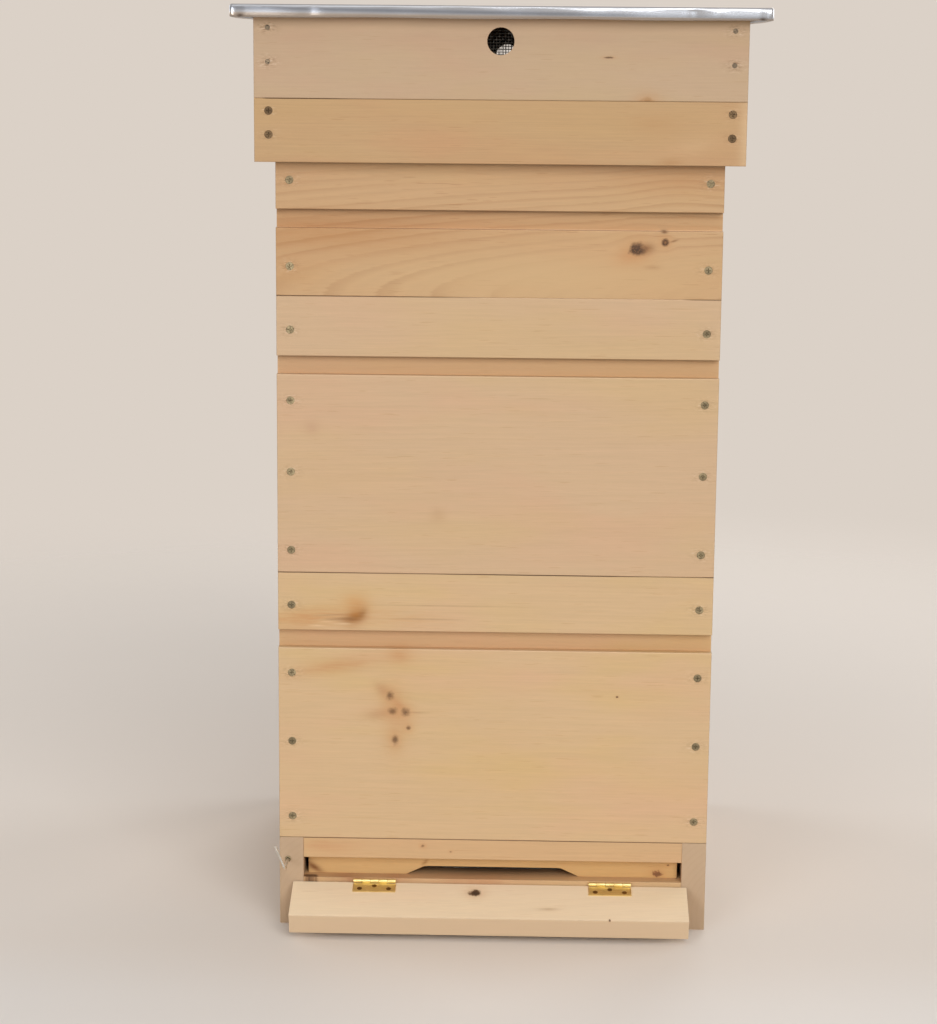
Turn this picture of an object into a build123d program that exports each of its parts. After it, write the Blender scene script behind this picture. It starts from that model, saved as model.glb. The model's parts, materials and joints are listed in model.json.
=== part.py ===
from build123d import *

import math
import os

# A stacked wooden beehive, in millimetres. X runs to the right as seen from the entrance, Y runs from
# the entrance to the back and Z is up. The origin is on the ground, in the middle of the hive's reach.

# Boxes
BOX_WIDTH = 500.0
BOX_DEPTH = 500.0
FRONT_THICKNESS = 25.0
SIDE_THICKNESS = 28.0
ARRIS = 1.0
GROOVE_DROP = 68.0
GROOVE_HEIGHT = 21.0
GROOVE_DEPTH = 12.0
DEEP_SCREW_DROPS = (38.5, 119.0, 201.0)
DEEP_SCREW_RISE = 26.0
SUPER_SCREW_DROPS = (36.0,)
SUPER_SCREW_RISE = 33.0
BOX_SCREW_INSET = 15.5

# Frames that hang in the boxes, and the spaces round them
FRAMES_PER_BOX = 12
DEEP_FRAME_HEIGHT = 300.0
SUPER_FRAME_HEIGHT = 145.0
FRAME_TOP_SPACE = 8.0
DEEP_BOTTOM_SPACE = 10.0
SUPER_BOTTOM_SPACE = 12.0
FRAME_END_SPACE = 7.5
TOP_BAR_WIDTH = 25.0
TOP_BAR_HEIGHT = 20.0
LUG_HEIGHT = 10.0
LUG_REST = 12.0
LUG_CLEARANCE = 2.0
SHOULDER_CLEARANCE = 0.4
SHOULDER_HEIGHT = 85.0
SIDE_BAR_WIDTH = 25.0
SIDE_BAR_THICKNESS = 10.0
BOTTOM_BAR_HEIGHT = 10.0
FOUNDATION_THICKNESS = 3.0

# Floor
FLOOR_HEIGHT = 106.0
RUNNER_THICKNESS = 28.0
FRONT_RAIL_HEIGHT = 24.4
FRONT_RAIL_DEPTH = 25.0
SILL_TOP = 57.5
SILL_HEIGHT = 33.0
SILL_DEPTH = 40.0
BACK_RAIL_DEPTH = 25.0
BATTEN_WIDTH = 22.0
BATTEN_HEIGHT = 31.5
MESH_THICKNESS = 1.0
MESH_COUNT = 17
MESH_WIRE = 2.0

# Inspection tray
TRAY_DROP = 18.0
TRAY_THICKNESS = 4.5
TRAY_CLEARANCE = 1.0
TRAY_GROOVE_DEPTH = 11.0
TRAY_HANDLE_DEPTH = 18.0
TRAY_HANDLE_HEIGHT = 20.0
TRAY_HANDLE_DROP = 13.0
TRAY_FRONT_GAP = 5.0

# Entrance block
BLOCK_END_GAP = 4.5
BLOCK_DEPTH = 22.0
BLOCK_SETBACK = 16.0
BLOCK_CLEARANCE = 0.5
NOTCH_WIDTH = 160.0
NOTCH_FLARE = 21.5
NOTCH_HEIGHT = 10.0
NOTCH_ROUNDING = 14.0

# Landing board and its hinges
LANDING_INSET = 19.0
LANDING_WIDTH = 62.6
LANDING_THICKNESS = 26.0
LANDING_SLOPE = 18.8
LANDING_SHIFT = -3.0
LANDING_EASE = 1.5
STOP_CLEARANCE = 0.3
HINGE_INSET = 93.0
HINGE_LENGTH = 50.0
HINGE_KNUCKLES = 5
KNUCKLE_GAP = 0.3
BARREL_RADIUS = 2.5
BARREL_CLEARANCE = 0.3
PIN_RADIUS = 1.1
PIN_CLEARANCE = 0.05
LEAF_WIDTH = 17.5
LEAF_THICKNESS = 1.4
LEAF_SCREW_END = 8.0
LEAF_SCREW_EDGE = 5.0

# Wire hook on the left runner
HOOK_INSET = 10.0
HOOK_DROP = 26.5
HOOK_RADIUS = 1.5
HOOK_SPARE = 11.0
HOOK_ARM = 29.0
HOOK_LEAN = 22.8
HOOK_BEND = 4.0
HOOK_DEPTH = 25.0
HOOK_CLEARANCE = 0.05

# Crown board and feed plug
CROWN_THICKNESS = 12.0
FEED_HOLE_RADIUS = 30.0
PLUG_CLEARANCE = 0.5
PLUG_FLANGE_RADIUS = 40.0
PLUG_FLANGE_HEIGHT = 8.0
PLUG_KNOB_RADIUS = 12.0
PLUG_KNOB_HEIGHT = 16.0

# Eke and roof
EKE_OVERHANG = 21.0
EKE_HEIGHT = 69.5
EKE_SKIRT = 15.5
SKIRT_CLEARANCE = 2.5
ROOF_BOARD_THICKNESS = 28.0
ROOF_HEIGHT = 88.0
EKE_SCREW_DROPS = (13.5, 39.5)
EKE_SCREW_INSET = 16.0
ROOF_NAIL_DROPS = (11.7, 48.6)
ROOF_NAIL_INSET = 15.5
LID_OVERHANG = 22.5
LID_HEIGHT = 13.0
SHEET_THICKNESS = 0.8
LID_EDGE_RADIUS = 3.0
LID_CORNER_RADIUS = 5.0
DECK_CLEARANCE = 0.3
ROOF_BATTEN_THICKNESS = 15.0
ROOF_BATTEN_HEIGHT = 25.0
ROOF_TONGUE = 12.0
TONGUE_CLEARANCE = 1.5
VENT_RADIUS = 15.0
VENT_DROP = 24.5
BACK_VENT_SHIFT = 2.5
BACK_VENT_DROP = 40.0
VENT_MESH_SIZE = 40.0
VENT_MESH_COUNT = 12
VENT_MESH_WIRE = 0.8
VENT_MESH_THICKNESS = 0.8

# Fasteners
SCREW_HEAD_RADIUS = 4.6
SCREW_HEAD_HEIGHT = 3.2
SCREW_RADIUS = 2.2
SCREW_LENGTH = 60.0
SCREW_SINK = 0.8
CROSS_LENGTH = 5.0
CROSS_WIDTH = 1.0
CROSS_DEPTH = 1.8
NAIL_HEAD_RADIUS = 2.8
NAIL_HEAD_HEIGHT = 1.2
NAIL_RADIUS = 1.4
NAIL_LENGTH = 60.0
LEAF_SCREW_HEAD_RADIUS = 2.9
LEAF_SCREW_HEAD_HEIGHT = 1.3
LEAF_SCREW_RADIUS = 1.4
LEAF_SCREW_LENGTH = 15.0
LEAF_CROSS_LENGTH = 3.0
LEAF_CROSS_WIDTH = 0.6
LEAF_CROSS_DEPTH = 0.7
SHANK_CLEARANCE = 0.1

# Boxes and frames made to suit each other
DEEP_HEIGHT = FRAME_TOP_SPACE + DEEP_FRAME_HEIGHT + DEEP_BOTTOM_SPACE
SUPER_HEIGHT = FRAME_TOP_SPACE + SUPER_FRAME_HEIGHT + SUPER_BOTTOM_SPACE
FRAME_LENGTH = BOX_DEPTH - 2 * (FRONT_THICKNESS + FRAME_END_SPACE)
TOP_BAR_LENGTH = BOX_DEPTH - 2 * (FRONT_THICKNESS - LUG_REST + LUG_CLEARANCE)

# Heights of the storeys
LOWER_DEEP_BOTTOM = FLOOR_HEIGHT
UPPER_DEEP_BOTTOM = LOWER_DEEP_BOTTOM + DEEP_HEIGHT
SUPER_BOTTOM = UPPER_DEEP_BOTTOM + DEEP_HEIGHT
CROWN_BOTTOM = SUPER_BOTTOM + SUPER_HEIGHT
EKE_BOTTOM = CROWN_BOTTOM - EKE_SKIRT
EKE_LEDGE = CROWN_BOTTOM + CROWN_THICKNESS
ROOF_BOTTOM = EKE_BOTTOM + EKE_HEIGHT
LID_BOTTOM = ROOF_BOTTOM + ROOF_HEIGHT

# Heights in the floor
TRAY_BOTTOM = SILL_TOP - MESH_THICKNESS - TRAY_DROP - TRAY_THICKNESS
TRAY_HANDLE_BOTTOM = TRAY_BOTTOM - TRAY_HANDLE_DROP
BACK_RAIL_BOTTOM = TRAY_HANDLE_BOTTOM + TRAY_HANDLE_HEIGHT + TRAY_CLEARANCE
HOOK_HEIGHT = FLOOR_HEIGHT - HOOK_DROP

# Lengths across the front of the floor
BLOCK_LENGTH = BOX_WIDTH - 2 * (RUNNER_THICKNESS + BLOCK_END_GAP)
LANDING_LENGTH = BOX_WIDTH - 2 * LANDING_INSET
HINGE_SPACING = LANDING_LENGTH - 2 * HINGE_INSET

# Screws in the hinge leaves, and the hook that clears the folded landing board
LEAF_SCREW_SPACING = HINGE_LENGTH / 2 - LEAF_SCREW_END
LEAF_SCREW_NEAR = BARREL_RADIUS + LEAF_SCREW_EDGE
LEAF_SCREW_FAR = LEAF_WIDTH - LEAF_SCREW_EDGE
HOOK_REACH = LANDING_THICKNESS + HOOK_SPARE

# The hinge axis, measured from the front of the floor and the top of the sill
SLOPE = math.radians(LANDING_SLOPE)
AXIS_AHEAD = BARREL_RADIUS + BARREL_CLEARANCE
AXIS_HEIGHT = SILL_TOP - BARREL_RADIUS - BARREL_CLEARANCE
BOARD_DROP = BARREL_RADIUS + BARREL_CLEARANCE
BOARD_BACK_AHEAD = LEAF_THICKNESS + STOP_CLEARANCE

# The landing board reaches further forward than the lid does, so the boxes stand behind the origin.
LID_REACH = EKE_OVERHANG + LID_OVERHANG
LANDING_ROUNDING = LANDING_EASE * (math.cos(SLOPE) + math.sin(SLOPE) - 1)
LANDING_REACH = BOARD_BACK_AHEAD + LANDING_WIDTH * math.cos(SLOPE) - LANDING_ROUNDING
CENTRE_Y = (max(LANDING_REACH, LID_REACH) - LID_REACH) / 2
FRONT = CENTRE_Y - BOX_DEPTH / 2
BACK = CENTRE_Y + BOX_DEPTH / 2
RIGHT = BOX_WIDTH / 2
INNER_RIGHT = RIGHT - SIDE_THICKNESS
FLOOR_INNER = RIGHT - RUNNER_THICKNESS
ROOF_RIGHT = RIGHT + EKE_OVERHANG
ROOF_FRONT = FRONT - EKE_OVERHANG
ROOF_BACK = BACK + EKE_OVERHANG

OUT_FRONT = (0, -1, 0)
OUT_BACK = (0, 1, 0)
OUT_LEFT = (-1, 0, 0)
OUT_RIGHT = (1, 0, 0)


def block(x0, x1, y0, y1, z0, z1):
    """A rectangular piece between two opposite corners."""
    middle = Pos((x0 + x1) / 2, (y0 + y1) / 2, (z0 + z1) / 2)
    return middle * Box(x1 - x0, y1 - y0, z1 - z0)


def eased(piece, axis, side):
    """A board whose edges are rounded over round its outer face, the last or first face along an axis."""
    outer = piece.faces().group_by(axis)[side]
    edges = [edge for face in outer for edge in face.edges()]
    return fillet(edges, ARRIS)


def turned(points):
    """A solid of revolution about Z from radius and height pairs."""
    profile = make_face(Polyline([(r, 0, z) for r, z in points], close=True))
    return revolve(profile, Axis.Z)


def cross_slot(length, width, depth):
    """The cutter of a cross recess in the top of a screw head at the origin."""
    return Box(length, width, 2 * depth) + Box(width, length, 2 * depth)


def screw_form(head_radius, head_height, radius, length, grow=0.0, above=0.0):
    """A countersunk screw with its head's top at the origin, pointing down, grown to make its hole."""
    head, shank = head_radius + grow, radius + grow
    outline = [(0, above), (head, above), (head, 0), (shank, -head_height), (shank, -length - grow)]
    outline.append((0, -length - grow))
    if above == 0:
        outline.pop(1)
    return turned(outline)


def box_screw():
    """A wood screw for the boxes, eke and floor."""
    body = screw_form(SCREW_HEAD_RADIUS, SCREW_HEAD_HEIGHT, SCREW_RADIUS, SCREW_LENGTH)
    return body - cross_slot(CROSS_LENGTH, CROSS_WIDTH, CROSS_DEPTH)


def box_screw_hole():
    """The hole of a wood screw, open above its sunk head."""
    return screw_form(
        SCREW_HEAD_RADIUS, SCREW_HEAD_HEIGHT, SCREW_RADIUS, SCREW_LENGTH, SHANK_CLEARANCE, 2 * SCREW_SINK
    )


def leaf_screw():
    """A small brass hinge screw."""
    body = screw_form(
        LEAF_SCREW_HEAD_RADIUS, LEAF_SCREW_HEAD_HEIGHT, LEAF_SCREW_RADIUS, LEAF_SCREW_LENGTH
    )
    return body - cross_slot(LEAF_CROSS_LENGTH, LEAF_CROSS_WIDTH, LEAF_CROSS_DEPTH)


def leaf_screw_hole():
    """The hole of a hinge screw through its leaf and into the wood."""
    return screw_form(
        LEAF_SCREW_HEAD_RADIUS,
        LEAF_SCREW_HEAD_HEIGHT,
        LEAF_SCREW_RADIUS,
        LEAF_SCREW_LENGTH,
        SHANK_CLEARANCE,
        LEAF_THICKNESS,
    )


def nail_form(grow=0.0, above=0.0):
    """A flat-headed nail with its head's top at the origin, pointing down, grown to make its hole."""
    head, shank = NAIL_HEAD_RADIUS + grow, NAIL_RADIUS + grow
    outline = [(0, above), (head, above), (head, -NAIL_HEAD_HEIGHT), (shank, -NAIL_HEAD_HEIGHT)]
    outline += [(shank, -NAIL_LENGTH - grow), (0, -NAIL_LENGTH - grow)]
    return turned(outline)


def driven(form, places):
    """Copies of a fastener, one at each point, each pointing against its outward direction."""
    return [Plane(origin=point, z_dir=outward) * form for point, outward in places]


def corner_places(half_width, inset, front, back, top, drops, sink):
    """Where fasteners go through the front and back boards into the ends of the side boards."""
    ends = ((front + sink, OUT_FRONT), (back - sink, OUT_BACK))
    sides = (inset - half_width, half_width - inset)
    return [((x, y, top - drop), outward) for y, outward in ends for x in sides for drop in drops]


def bored(piece, holes):
    """A piece with those of the holes cut that reach into its box."""
    reach = piece.bounding_box()
    for hole in holes:
        other = hole.bounding_box()
        apart = [
            low > high
            for low, high in (
                *zip(tuple(other.min), tuple(reach.max)),
                *zip(tuple(reach.min), tuple(other.max)),
            )
        ]
        if not any(apart):
            piece = piece - hole
    return piece


def net(width, depth, count, wire, thickness):
    """A flat wire net in the XY plane, centred on the origin: one sheet with square gaps."""
    pitch_x, pitch_y = (width - wire) / count, (depth - wire) / count
    gap = [
        Pos(x, y) * Rectangle(pitch_x - wire, pitch_y - wire).wire()
        for x in [(i - (count - 1) / 2) * pitch_x for i in range(count)]
        for y in [(i - (count - 1) / 2) * pitch_y for i in range(count)]
    ]
    return extrude(Face(Rectangle(width, depth).wire(), gap), thickness, dir=(0, 0, 1))


def hive_box(name, bottom, height, screw_drops, frame_height):
    """One storey: four boards, their screws and the frames that hang in it."""
    top = bottom + height
    groove_top = top - GROOVE_DROP
    ledge = top - FRAME_TOP_SPACE - LUG_HEIGHT
    places = corner_places(RIGHT, BOX_SCREW_INSET, FRONT, BACK, top, screw_drops, SCREW_SINK)
    holes = driven(box_screw_hole(), places)

    def end_board(outer, inward, side):
        inner = outer + inward * FRONT_THICKNESS
        groove_back = outer + inward * GROOVE_DEPTH
        rest_back = inner - inward * LUG_REST
        board = block(-RIGHT, RIGHT, min(outer, inner), max(outer, inner), bottom, top)
        board -= block(
            -BOX_WIDTH,
            BOX_WIDTH,
            min(outer - inward * GROOVE_DEPTH, groove_back),
            max(outer - inward * GROOVE_DEPTH, groove_back),
            groove_top - GROOVE_HEIGHT,
            groove_top,
        )
        board = eased(board, Axis.Y, side)
        board -= block(
            -INNER_RIGHT,
            INNER_RIGHT,
            min(rest_back, inner + inward),
            max(rest_back, inner + inward),
            ledge,
            top + FRAME_TOP_SPACE,
        )
        return bored(board, holes)

    def side_board(outer, inner, side):
        front, back = FRONT + FRONT_THICKNESS, BACK - FRONT_THICKNESS
        board = block(min(outer, inner), max(outer, inner), front, back, bottom, top)
        return bored(eased(board, Axis.X, side), holes)

    nodes = {
        f"{name}_front": [end_board(FRONT, 1, 0)],
        f"{name}_back": [end_board(BACK, -1, -1)],
        f"{name}_left": [side_board(-RIGHT, -INNER_RIGHT, 0)],
        f"{name}_right": [side_board(RIGHT, INNER_RIGHT, -1)],
        f"{name}_screws": driven(box_screw(), places),
    }
    nodes.update(frames(name, top - FRAME_TOP_SPACE, frame_height))
    return nodes


def frames(name, top, height):
    """The frames of one storey: top bars, side and bottom bars, and sheets of wax foundation."""
    pitch = 2 * INNER_RIGHT / FRAMES_PER_BOX
    shoulder = (pitch - SHOULDER_CLEARANCE) / 2
    half, half_bar = FRAME_LENGTH / 2, SIDE_BAR_WIDTH / 2
    inside = half - SIDE_BAR_THICKNESS
    bottom, lug_bottom, bar_bottom = top - height, top - LUG_HEIGHT, top - TOP_BAR_HEIGHT
    shoulder_bottom = lug_bottom - SHOULDER_HEIGHT

    def spanning(x, half_x, half_y, low, high):
        return block(x - half_x, x + half_x, CENTRE_Y - half_y, CENTRE_Y + half_y, low, high)

    def side_bar(x, end):
        near, far = CENTRE_Y + end * inside, CENTRE_Y + end * half
        low_y, high_y = min(near, far), max(near, far)
        upper = block(x - shoulder, x + shoulder, low_y, high_y, shoulder_bottom, lug_bottom)
        lower = block(x - half_bar, x + half_bar, low_y, high_y, bottom, shoulder_bottom)
        return upper + lower

    places = [(i - (FRAMES_PER_BOX - 1) / 2) * pitch for i in range(FRAMES_PER_BOX)]
    tops, bars, sheets = [], [], []
    for x in places:
        lugs = spanning(x, TOP_BAR_WIDTH / 2, TOP_BAR_LENGTH / 2, lug_bottom, top)
        tops.append(lugs + spanning(x, TOP_BAR_WIDTH / 2, inside, bar_bottom, lug_bottom))
        bars += [side_bar(x, -1), side_bar(x, 1)]
        bars.append(spanning(x, half_bar, inside, bottom, bottom + BOTTOM_BAR_HEIGHT))
        sheets.append(spanning(x, FOUNDATION_THICKNESS / 2, inside, bottom + BOTTOM_BAR_HEIGHT, bar_bottom))
    return {f"{name}_top_bars": tops, f"{name}_frame_bars": bars, f"{name}_foundation": sheets}


def floor():
    """The floor: runners, rails, sill, battens, mesh and the screws that hold them."""
    batten_top = SILL_TOP - MESH_THICKNESS
    batten_bottom = batten_top - BATTEN_HEIGHT
    batten_inner = FLOOR_INNER - BATTEN_WIDTH
    sill_back, rail_front = FRONT + SILL_DEPTH, BACK - BACK_RAIL_DEPTH
    rail_bottom = FLOOR_HEIGHT - FRONT_RAIL_HEIGHT
    back_middle = (BACK_RAIL_BOTTOM + FLOOR_HEIGHT) / 2
    back_step = (FLOOR_HEIGHT - BACK_RAIL_BOTTOM) / 4
    levels = (
        (FRONT + FRONT_RAIL_DEPTH / 2, rail_bottom + FRONT_RAIL_HEIGHT / 2),
        (FRONT + SILL_DEPTH / 2, SILL_TOP - SILL_HEIGHT / 2),
        (BACK - BACK_RAIL_DEPTH / 2, back_middle - back_step),
        (BACK - BACK_RAIL_DEPTH / 2, back_middle + back_step),
    )
    places = [((SCREW_SINK - RIGHT, y, z), OUT_LEFT) for y, z in levels]
    places += [((RIGHT - SCREW_SINK, y, z), OUT_RIGHT) for y, z in levels]
    holes = driven(box_screw_hole(), places)
    hook_bore = Pos(HOOK_INSET - RIGHT, FRONT + HOOK_DEPTH / 2, HOOK_HEIGHT) * Rot(90, 0, 0)
    hook_bore *= Cylinder(HOOK_RADIUS + HOOK_CLEARANCE, HOOK_DEPTH + 2 * HOOK_CLEARANCE)
    leaf_holes = driven(leaf_screw_hole(), fixed_screw_places())

    def runner(outer, inner, side):
        board = block(min(outer, inner), max(outer, inner), FRONT, BACK, 0, FLOOR_HEIGHT)
        return bored(eased(board, Axis.X, side), holes)

    def batten(outer, inner, mouth):
        strip = block(
            min(outer, inner), max(outer, inner), sill_back, rail_front, batten_bottom, batten_top
        )
        groove_end = inner + math.copysign(TRAY_GROOVE_DEPTH, inner)
        return strip - block(
            min(mouth, groove_end),
            max(mouth, groove_end),
            sill_back - SILL_DEPTH,
            rail_front + BACK_RAIL_DEPTH,
            TRAY_BOTTOM,
            TRAY_BOTTOM + TRAY_THICKNESS + TRAY_CLEARANCE,
        )

    rail_back = FRONT + FRONT_RAIL_DEPTH
    front_rail = block(-FLOOR_INNER, FLOOR_INNER, FRONT, rail_back, rail_bottom, FLOOR_HEIGHT)
    sill = block(-FLOOR_INNER, FLOOR_INNER, FRONT, sill_back, SILL_TOP - SILL_HEIGHT, SILL_TOP)
    back_rail = block(-FLOOR_INNER, FLOOR_INNER, rail_front, BACK, BACK_RAIL_BOTTOM, FLOOR_HEIGHT)
    sheet = net(2 * FLOOR_INNER, rail_front - sill_back, MESH_COUNT, MESH_WIRE, MESH_THICKNESS)
    battens = [batten(end * FLOOR_INNER, end * batten_inner, 0) for end in (-1, 1)]
    return {
        "floor_left_runner": [runner(-RIGHT, -FLOOR_INNER, 0) - hook_bore],
        "floor_right_runner": [runner(RIGHT, FLOOR_INNER, -1)],
        "floor_front_rail": [bored(eased(front_rail, Axis.Y, 0), holes)],
        "floor_sill": [bored(eased(sill, Axis.Y, 0), holes + leaf_holes)],
        "floor_back_rail": [bored(eased(back_rail, Axis.Y, -1), holes)],
        "floor_side_battens": battens,
        "floor_mesh": [Pos(0, (sill_back + rail_front) / 2, batten_top) * sheet],
        "floor_screws": driven(box_screw(), places),
    }


def tray():
    """The inspection tray that slides in the battens under the mesh, with its pull strip."""
    batten_inner = FLOOR_INNER - BATTEN_WIDTH
    half = batten_inner + TRAY_GROOVE_DEPTH - TRAY_CLEARANCE
    end = BACK - TRAY_HANDLE_DEPTH
    front = FRONT + SILL_DEPTH + TRAY_FRONT_GAP
    panel = block(-half, half, front, end, TRAY_BOTTOM, TRAY_BOTTOM + TRAY_THICKNESS)
    grip = batten_inner - TRAY_CLEARANCE
    handle = block(-grip, grip, end, BACK, TRAY_HANDLE_BOTTOM, TRAY_HANDLE_BOTTOM + TRAY_HANDLE_HEIGHT)
    return {"tray_panel": [panel], "tray_handle": [eased(handle, Axis.Y, -1)]}


def entrance_block():
    """The loose strip in the entrance slot, with its wide notch."""
    height = FLOOR_HEIGHT - FRONT_RAIL_HEIGHT - SILL_TOP - BLOCK_CLEARANCE
    front = FRONT + BLOCK_SETBACK
    half, flared = NOTCH_WIDTH / 2, NOTCH_WIDTH / 2 + NOTCH_FLARE
    end, back, top = BLOCK_LENGTH / 2, front + BLOCK_DEPTH, SILL_TOP + height
    strip = block(-end, end, front, back, SILL_TOP, top)
    outline = [(-flared, 0), (-half, NOTCH_HEIGHT), (half, NOTCH_HEIGHT), (flared, 0)]
    face = make_face(Polyline(outline, close=True))
    rounded = fillet(face.vertices().group_by(Axis.Y)[-1], NOTCH_ROUNDING)
    place = Plane(origin=(0, front + 2 * BLOCK_DEPTH, SILL_TOP), x_dir=(1, 0, 0), z_dir=OUT_FRONT)
    return {"entrance_block": [strip - place * extrude(rounded, 3 * BLOCK_DEPTH)]}


def hinge_middles():
    """The X of the middle of each hinge."""
    return (-HINGE_SPACING / 2, HINGE_SPACING / 2)


def leaf_screw_offsets():
    """Each leaf screw's place along the barrel and its distance from the barrel's axis."""
    return (
        (-LEAF_SCREW_SPACING, LEAF_SCREW_FAR),
        (0.0, LEAF_SCREW_NEAR),
        (LEAF_SCREW_SPACING, LEAF_SCREW_FAR),
    )


def fixed_screw_places():
    """Where the hinge screws go through the fixed leaves into the sill."""
    y = FRONT - LEAF_THICKNESS
    return [
        ((x + along, y, AXIS_HEIGHT - down), OUT_FRONT)
        for x in hinge_middles()
        for along, down in leaf_screw_offsets()
    ]


def board_plane(x):
    """The landing board's frame on the hinge axis: its own -Y runs down the slope, its Z is square to it."""
    normal = (0, -math.sin(SLOPE), math.cos(SLOPE))
    return Plane(origin=(x, FRONT - AXIS_AHEAD, AXIS_HEIGHT), x_dir=(1, 0, 0), z_dir=normal)


def leaf(first_knuckle):
    """A leaf in the board's frame, with every other knuckle, its plate tangent under the barrel."""
    step = HINGE_LENGTH / HINGE_KNUCKLES
    start = -HINGE_LENGTH / 2
    under, over = -BOARD_DROP, LEAF_THICKNESS - BOARD_DROP
    clear = BARREL_RADIUS + 2 * BARREL_CLEARANCE
    plate = block(start, -start, -LEAF_WIDTH, -clear, under, over)
    for i in range(first_knuckle, HINGE_KNUCKLES, 2):
        low, high = start + i * step + KNUCKLE_GAP / 2, start + (i + 1) * step - KNUCKLE_GAP / 2
        plate += block(low, high, -clear, 0, under, over)
        plate += Pos((low + high) / 2, 0, 0) * Rot(0, 90, 0) * Cylinder(BARREL_RADIUS, high - low)
    return plate - Rot(0, 90, 0) * Cylinder(PIN_RADIUS + PIN_CLEARANCE, 2 * HINGE_LENGTH)


def fixed_leaf_plane(x):
    """The frame of a fixed leaf: its own -Y runs down the front of the sill and its Z faces forward."""
    return Plane(origin=(x, FRONT - AXIS_AHEAD, AXIS_HEIGHT), x_dir=(1, 0, 0), z_dir=OUT_FRONT)


def hinges():
    """The two butt hinges: leaves, pins and screws."""
    fixed_places = fixed_screw_places()
    fixed_holes = driven(leaf_screw_hole(), fixed_places)
    moving_holes = driven(leaf_screw_hole(), moving_screw_places())
    fixed = [bored(fixed_leaf_plane(x) * leaf(0), fixed_holes) for x in hinge_middles()]
    moving = [bored(board_plane(x) * leaf(1), moving_holes) for x in hinge_middles()]
    pin = Rot(0, 90, 0) * Cylinder(PIN_RADIUS, HINGE_LENGTH)
    return {
        "hinge_fixed_leaves": fixed,
        "hinge_moving_leaves": moving,
        "hinge_pins": [Pos(x, FRONT - AXIS_AHEAD, AXIS_HEIGHT) * pin for x in hinge_middles()],
        "hinge_fixed_screws": driven(leaf_screw(), fixed_places),
        "hinge_board_screws": driven(leaf_screw(), moving_screw_places()),
    }


def moving_screw_places():
    """Where the hinge screws go through the moving leaves into the landing board."""
    places = []
    for x in hinge_middles():
        plane = board_plane(x)
        for along, down in leaf_screw_offsets():
            point = plane.from_local_coords(Vector(along, -down, LEAF_THICKNESS - BOARD_DROP))
            places.append((point, plane.z_dir))
    return places


def landing_board():
    """The landing board, sloping forward, its back edge upright against the sill as its stop."""
    up, down = math.cos(SLOPE), math.sin(SLOPE)
    top_back_y = FRONT - BOARD_BACK_AHEAD
    slip = (AXIS_AHEAD - BOARD_BACK_AHEAD - BOARD_DROP * down) / up
    top_back_z = AXIS_HEIGHT - BOARD_DROP * up + slip * down
    top_front = (top_back_y - LANDING_WIDTH * up, top_back_z - LANDING_WIDTH * down)
    bottom_front = (top_front[0] + LANDING_THICKNESS * down, top_front[1] - LANDING_THICKNESS * up)
    rise = (top_back_y - bottom_front[0]) * math.tan(SLOPE)
    outline = [(top_back_y, top_back_z), top_front, bottom_front, (top_back_y, bottom_front[1] + rise)]
    section = Plane(origin=(LANDING_SHIFT - LANDING_LENGTH / 2, 0, 0), x_dir=(0, 1, 0), z_dir=(1, 0, 0))
    board = extrude(section * make_face(Polyline(outline, close=True)), LANDING_LENGTH)
    front_edges = [e for e in board.edges().filter_by(Axis.X) if e.center().Y < FRONT - LANDING_WIDTH / 2]
    board = fillet(front_edges, LANDING_EASE)
    return {"landing_board": [bored(board, driven(leaf_screw_hole(), moving_screw_places()))]}


def hook():
    """The bent wire in the end of the left runner: straight out to the front, then up and to the left."""
    lean = math.radians(HOOK_LEAN)
    arm = (-math.sin(lean), 0, math.cos(lean))
    across = (-arm[2], 0, arm[0])
    plane = Plane(origin=(HOOK_INSET - RIGHT, FRONT, HOOK_HEIGHT), x_dir=OUT_FRONT, z_dir=across)
    rise = HOOK_ARM * plane.y_dir.dot(Vector(arm))
    path = FilletPolyline((-HOOK_DEPTH, 0), (HOOK_REACH, 0), (HOOK_REACH, rise), radius=HOOK_BEND)
    start = Plane(origin=(-HOOK_DEPTH, 0, 0), z_dir=(1, 0, 0))
    return {"latch_hook": [plane * sweep(start * Circle(HOOK_RADIUS), path=path)]}


def crown():
    """The crown board on the super, with its feed hole and the turned plug in it."""
    top = CROWN_BOTTOM + CROWN_THICKNESS
    board = block(-RIGHT, RIGHT, FRONT, BACK, CROWN_BOTTOM, top)
    hole = Pos(0, CENTRE_Y, CROWN_BOTTOM) * Cylinder(FEED_HOLE_RADIUS, 3 * CROWN_THICKNESS)
    shank, flange = FEED_HOLE_RADIUS - PLUG_CLEARANCE, PLUG_FLANGE_HEIGHT
    outline = [(0, -CROWN_THICKNESS), (shank, -CROWN_THICKNESS), (shank, 0), (PLUG_FLANGE_RADIUS, 0)]
    outline += [(PLUG_FLANGE_RADIUS, flange), (PLUG_KNOB_RADIUS, flange)]
    outline += [(PLUG_KNOB_RADIUS, flange + PLUG_KNOB_HEIGHT), (0, flange + PLUG_KNOB_HEIGHT)]
    return {"crown_board": [board - hole], "feed_plug": [Pos(0, CENTRE_Y, top) * turned(outline)]}


def board_ring(low, high):
    """Front, back, left and right boards of the eke or the roof, between two heights."""
    inner_right = ROOF_RIGHT - ROOF_BOARD_THICKNESS
    inner_front, inner_back = ROOF_FRONT + ROOF_BOARD_THICKNESS, ROOF_BACK - ROOF_BOARD_THICKNESS
    return {
        "front": eased(block(-ROOF_RIGHT, ROOF_RIGHT, ROOF_FRONT, inner_front, low, high), Axis.Y, 0),
        "back": eased(block(-ROOF_RIGHT, ROOF_RIGHT, inner_back, ROOF_BACK, low, high), Axis.Y, -1),
        "left": eased(block(-ROOF_RIGHT, -inner_right, inner_front, inner_back, low, high), Axis.X, 0),
        "right": eased(block(inner_right, ROOF_RIGHT, inner_front, inner_back, low, high), Axis.X, -1),
    }


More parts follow.
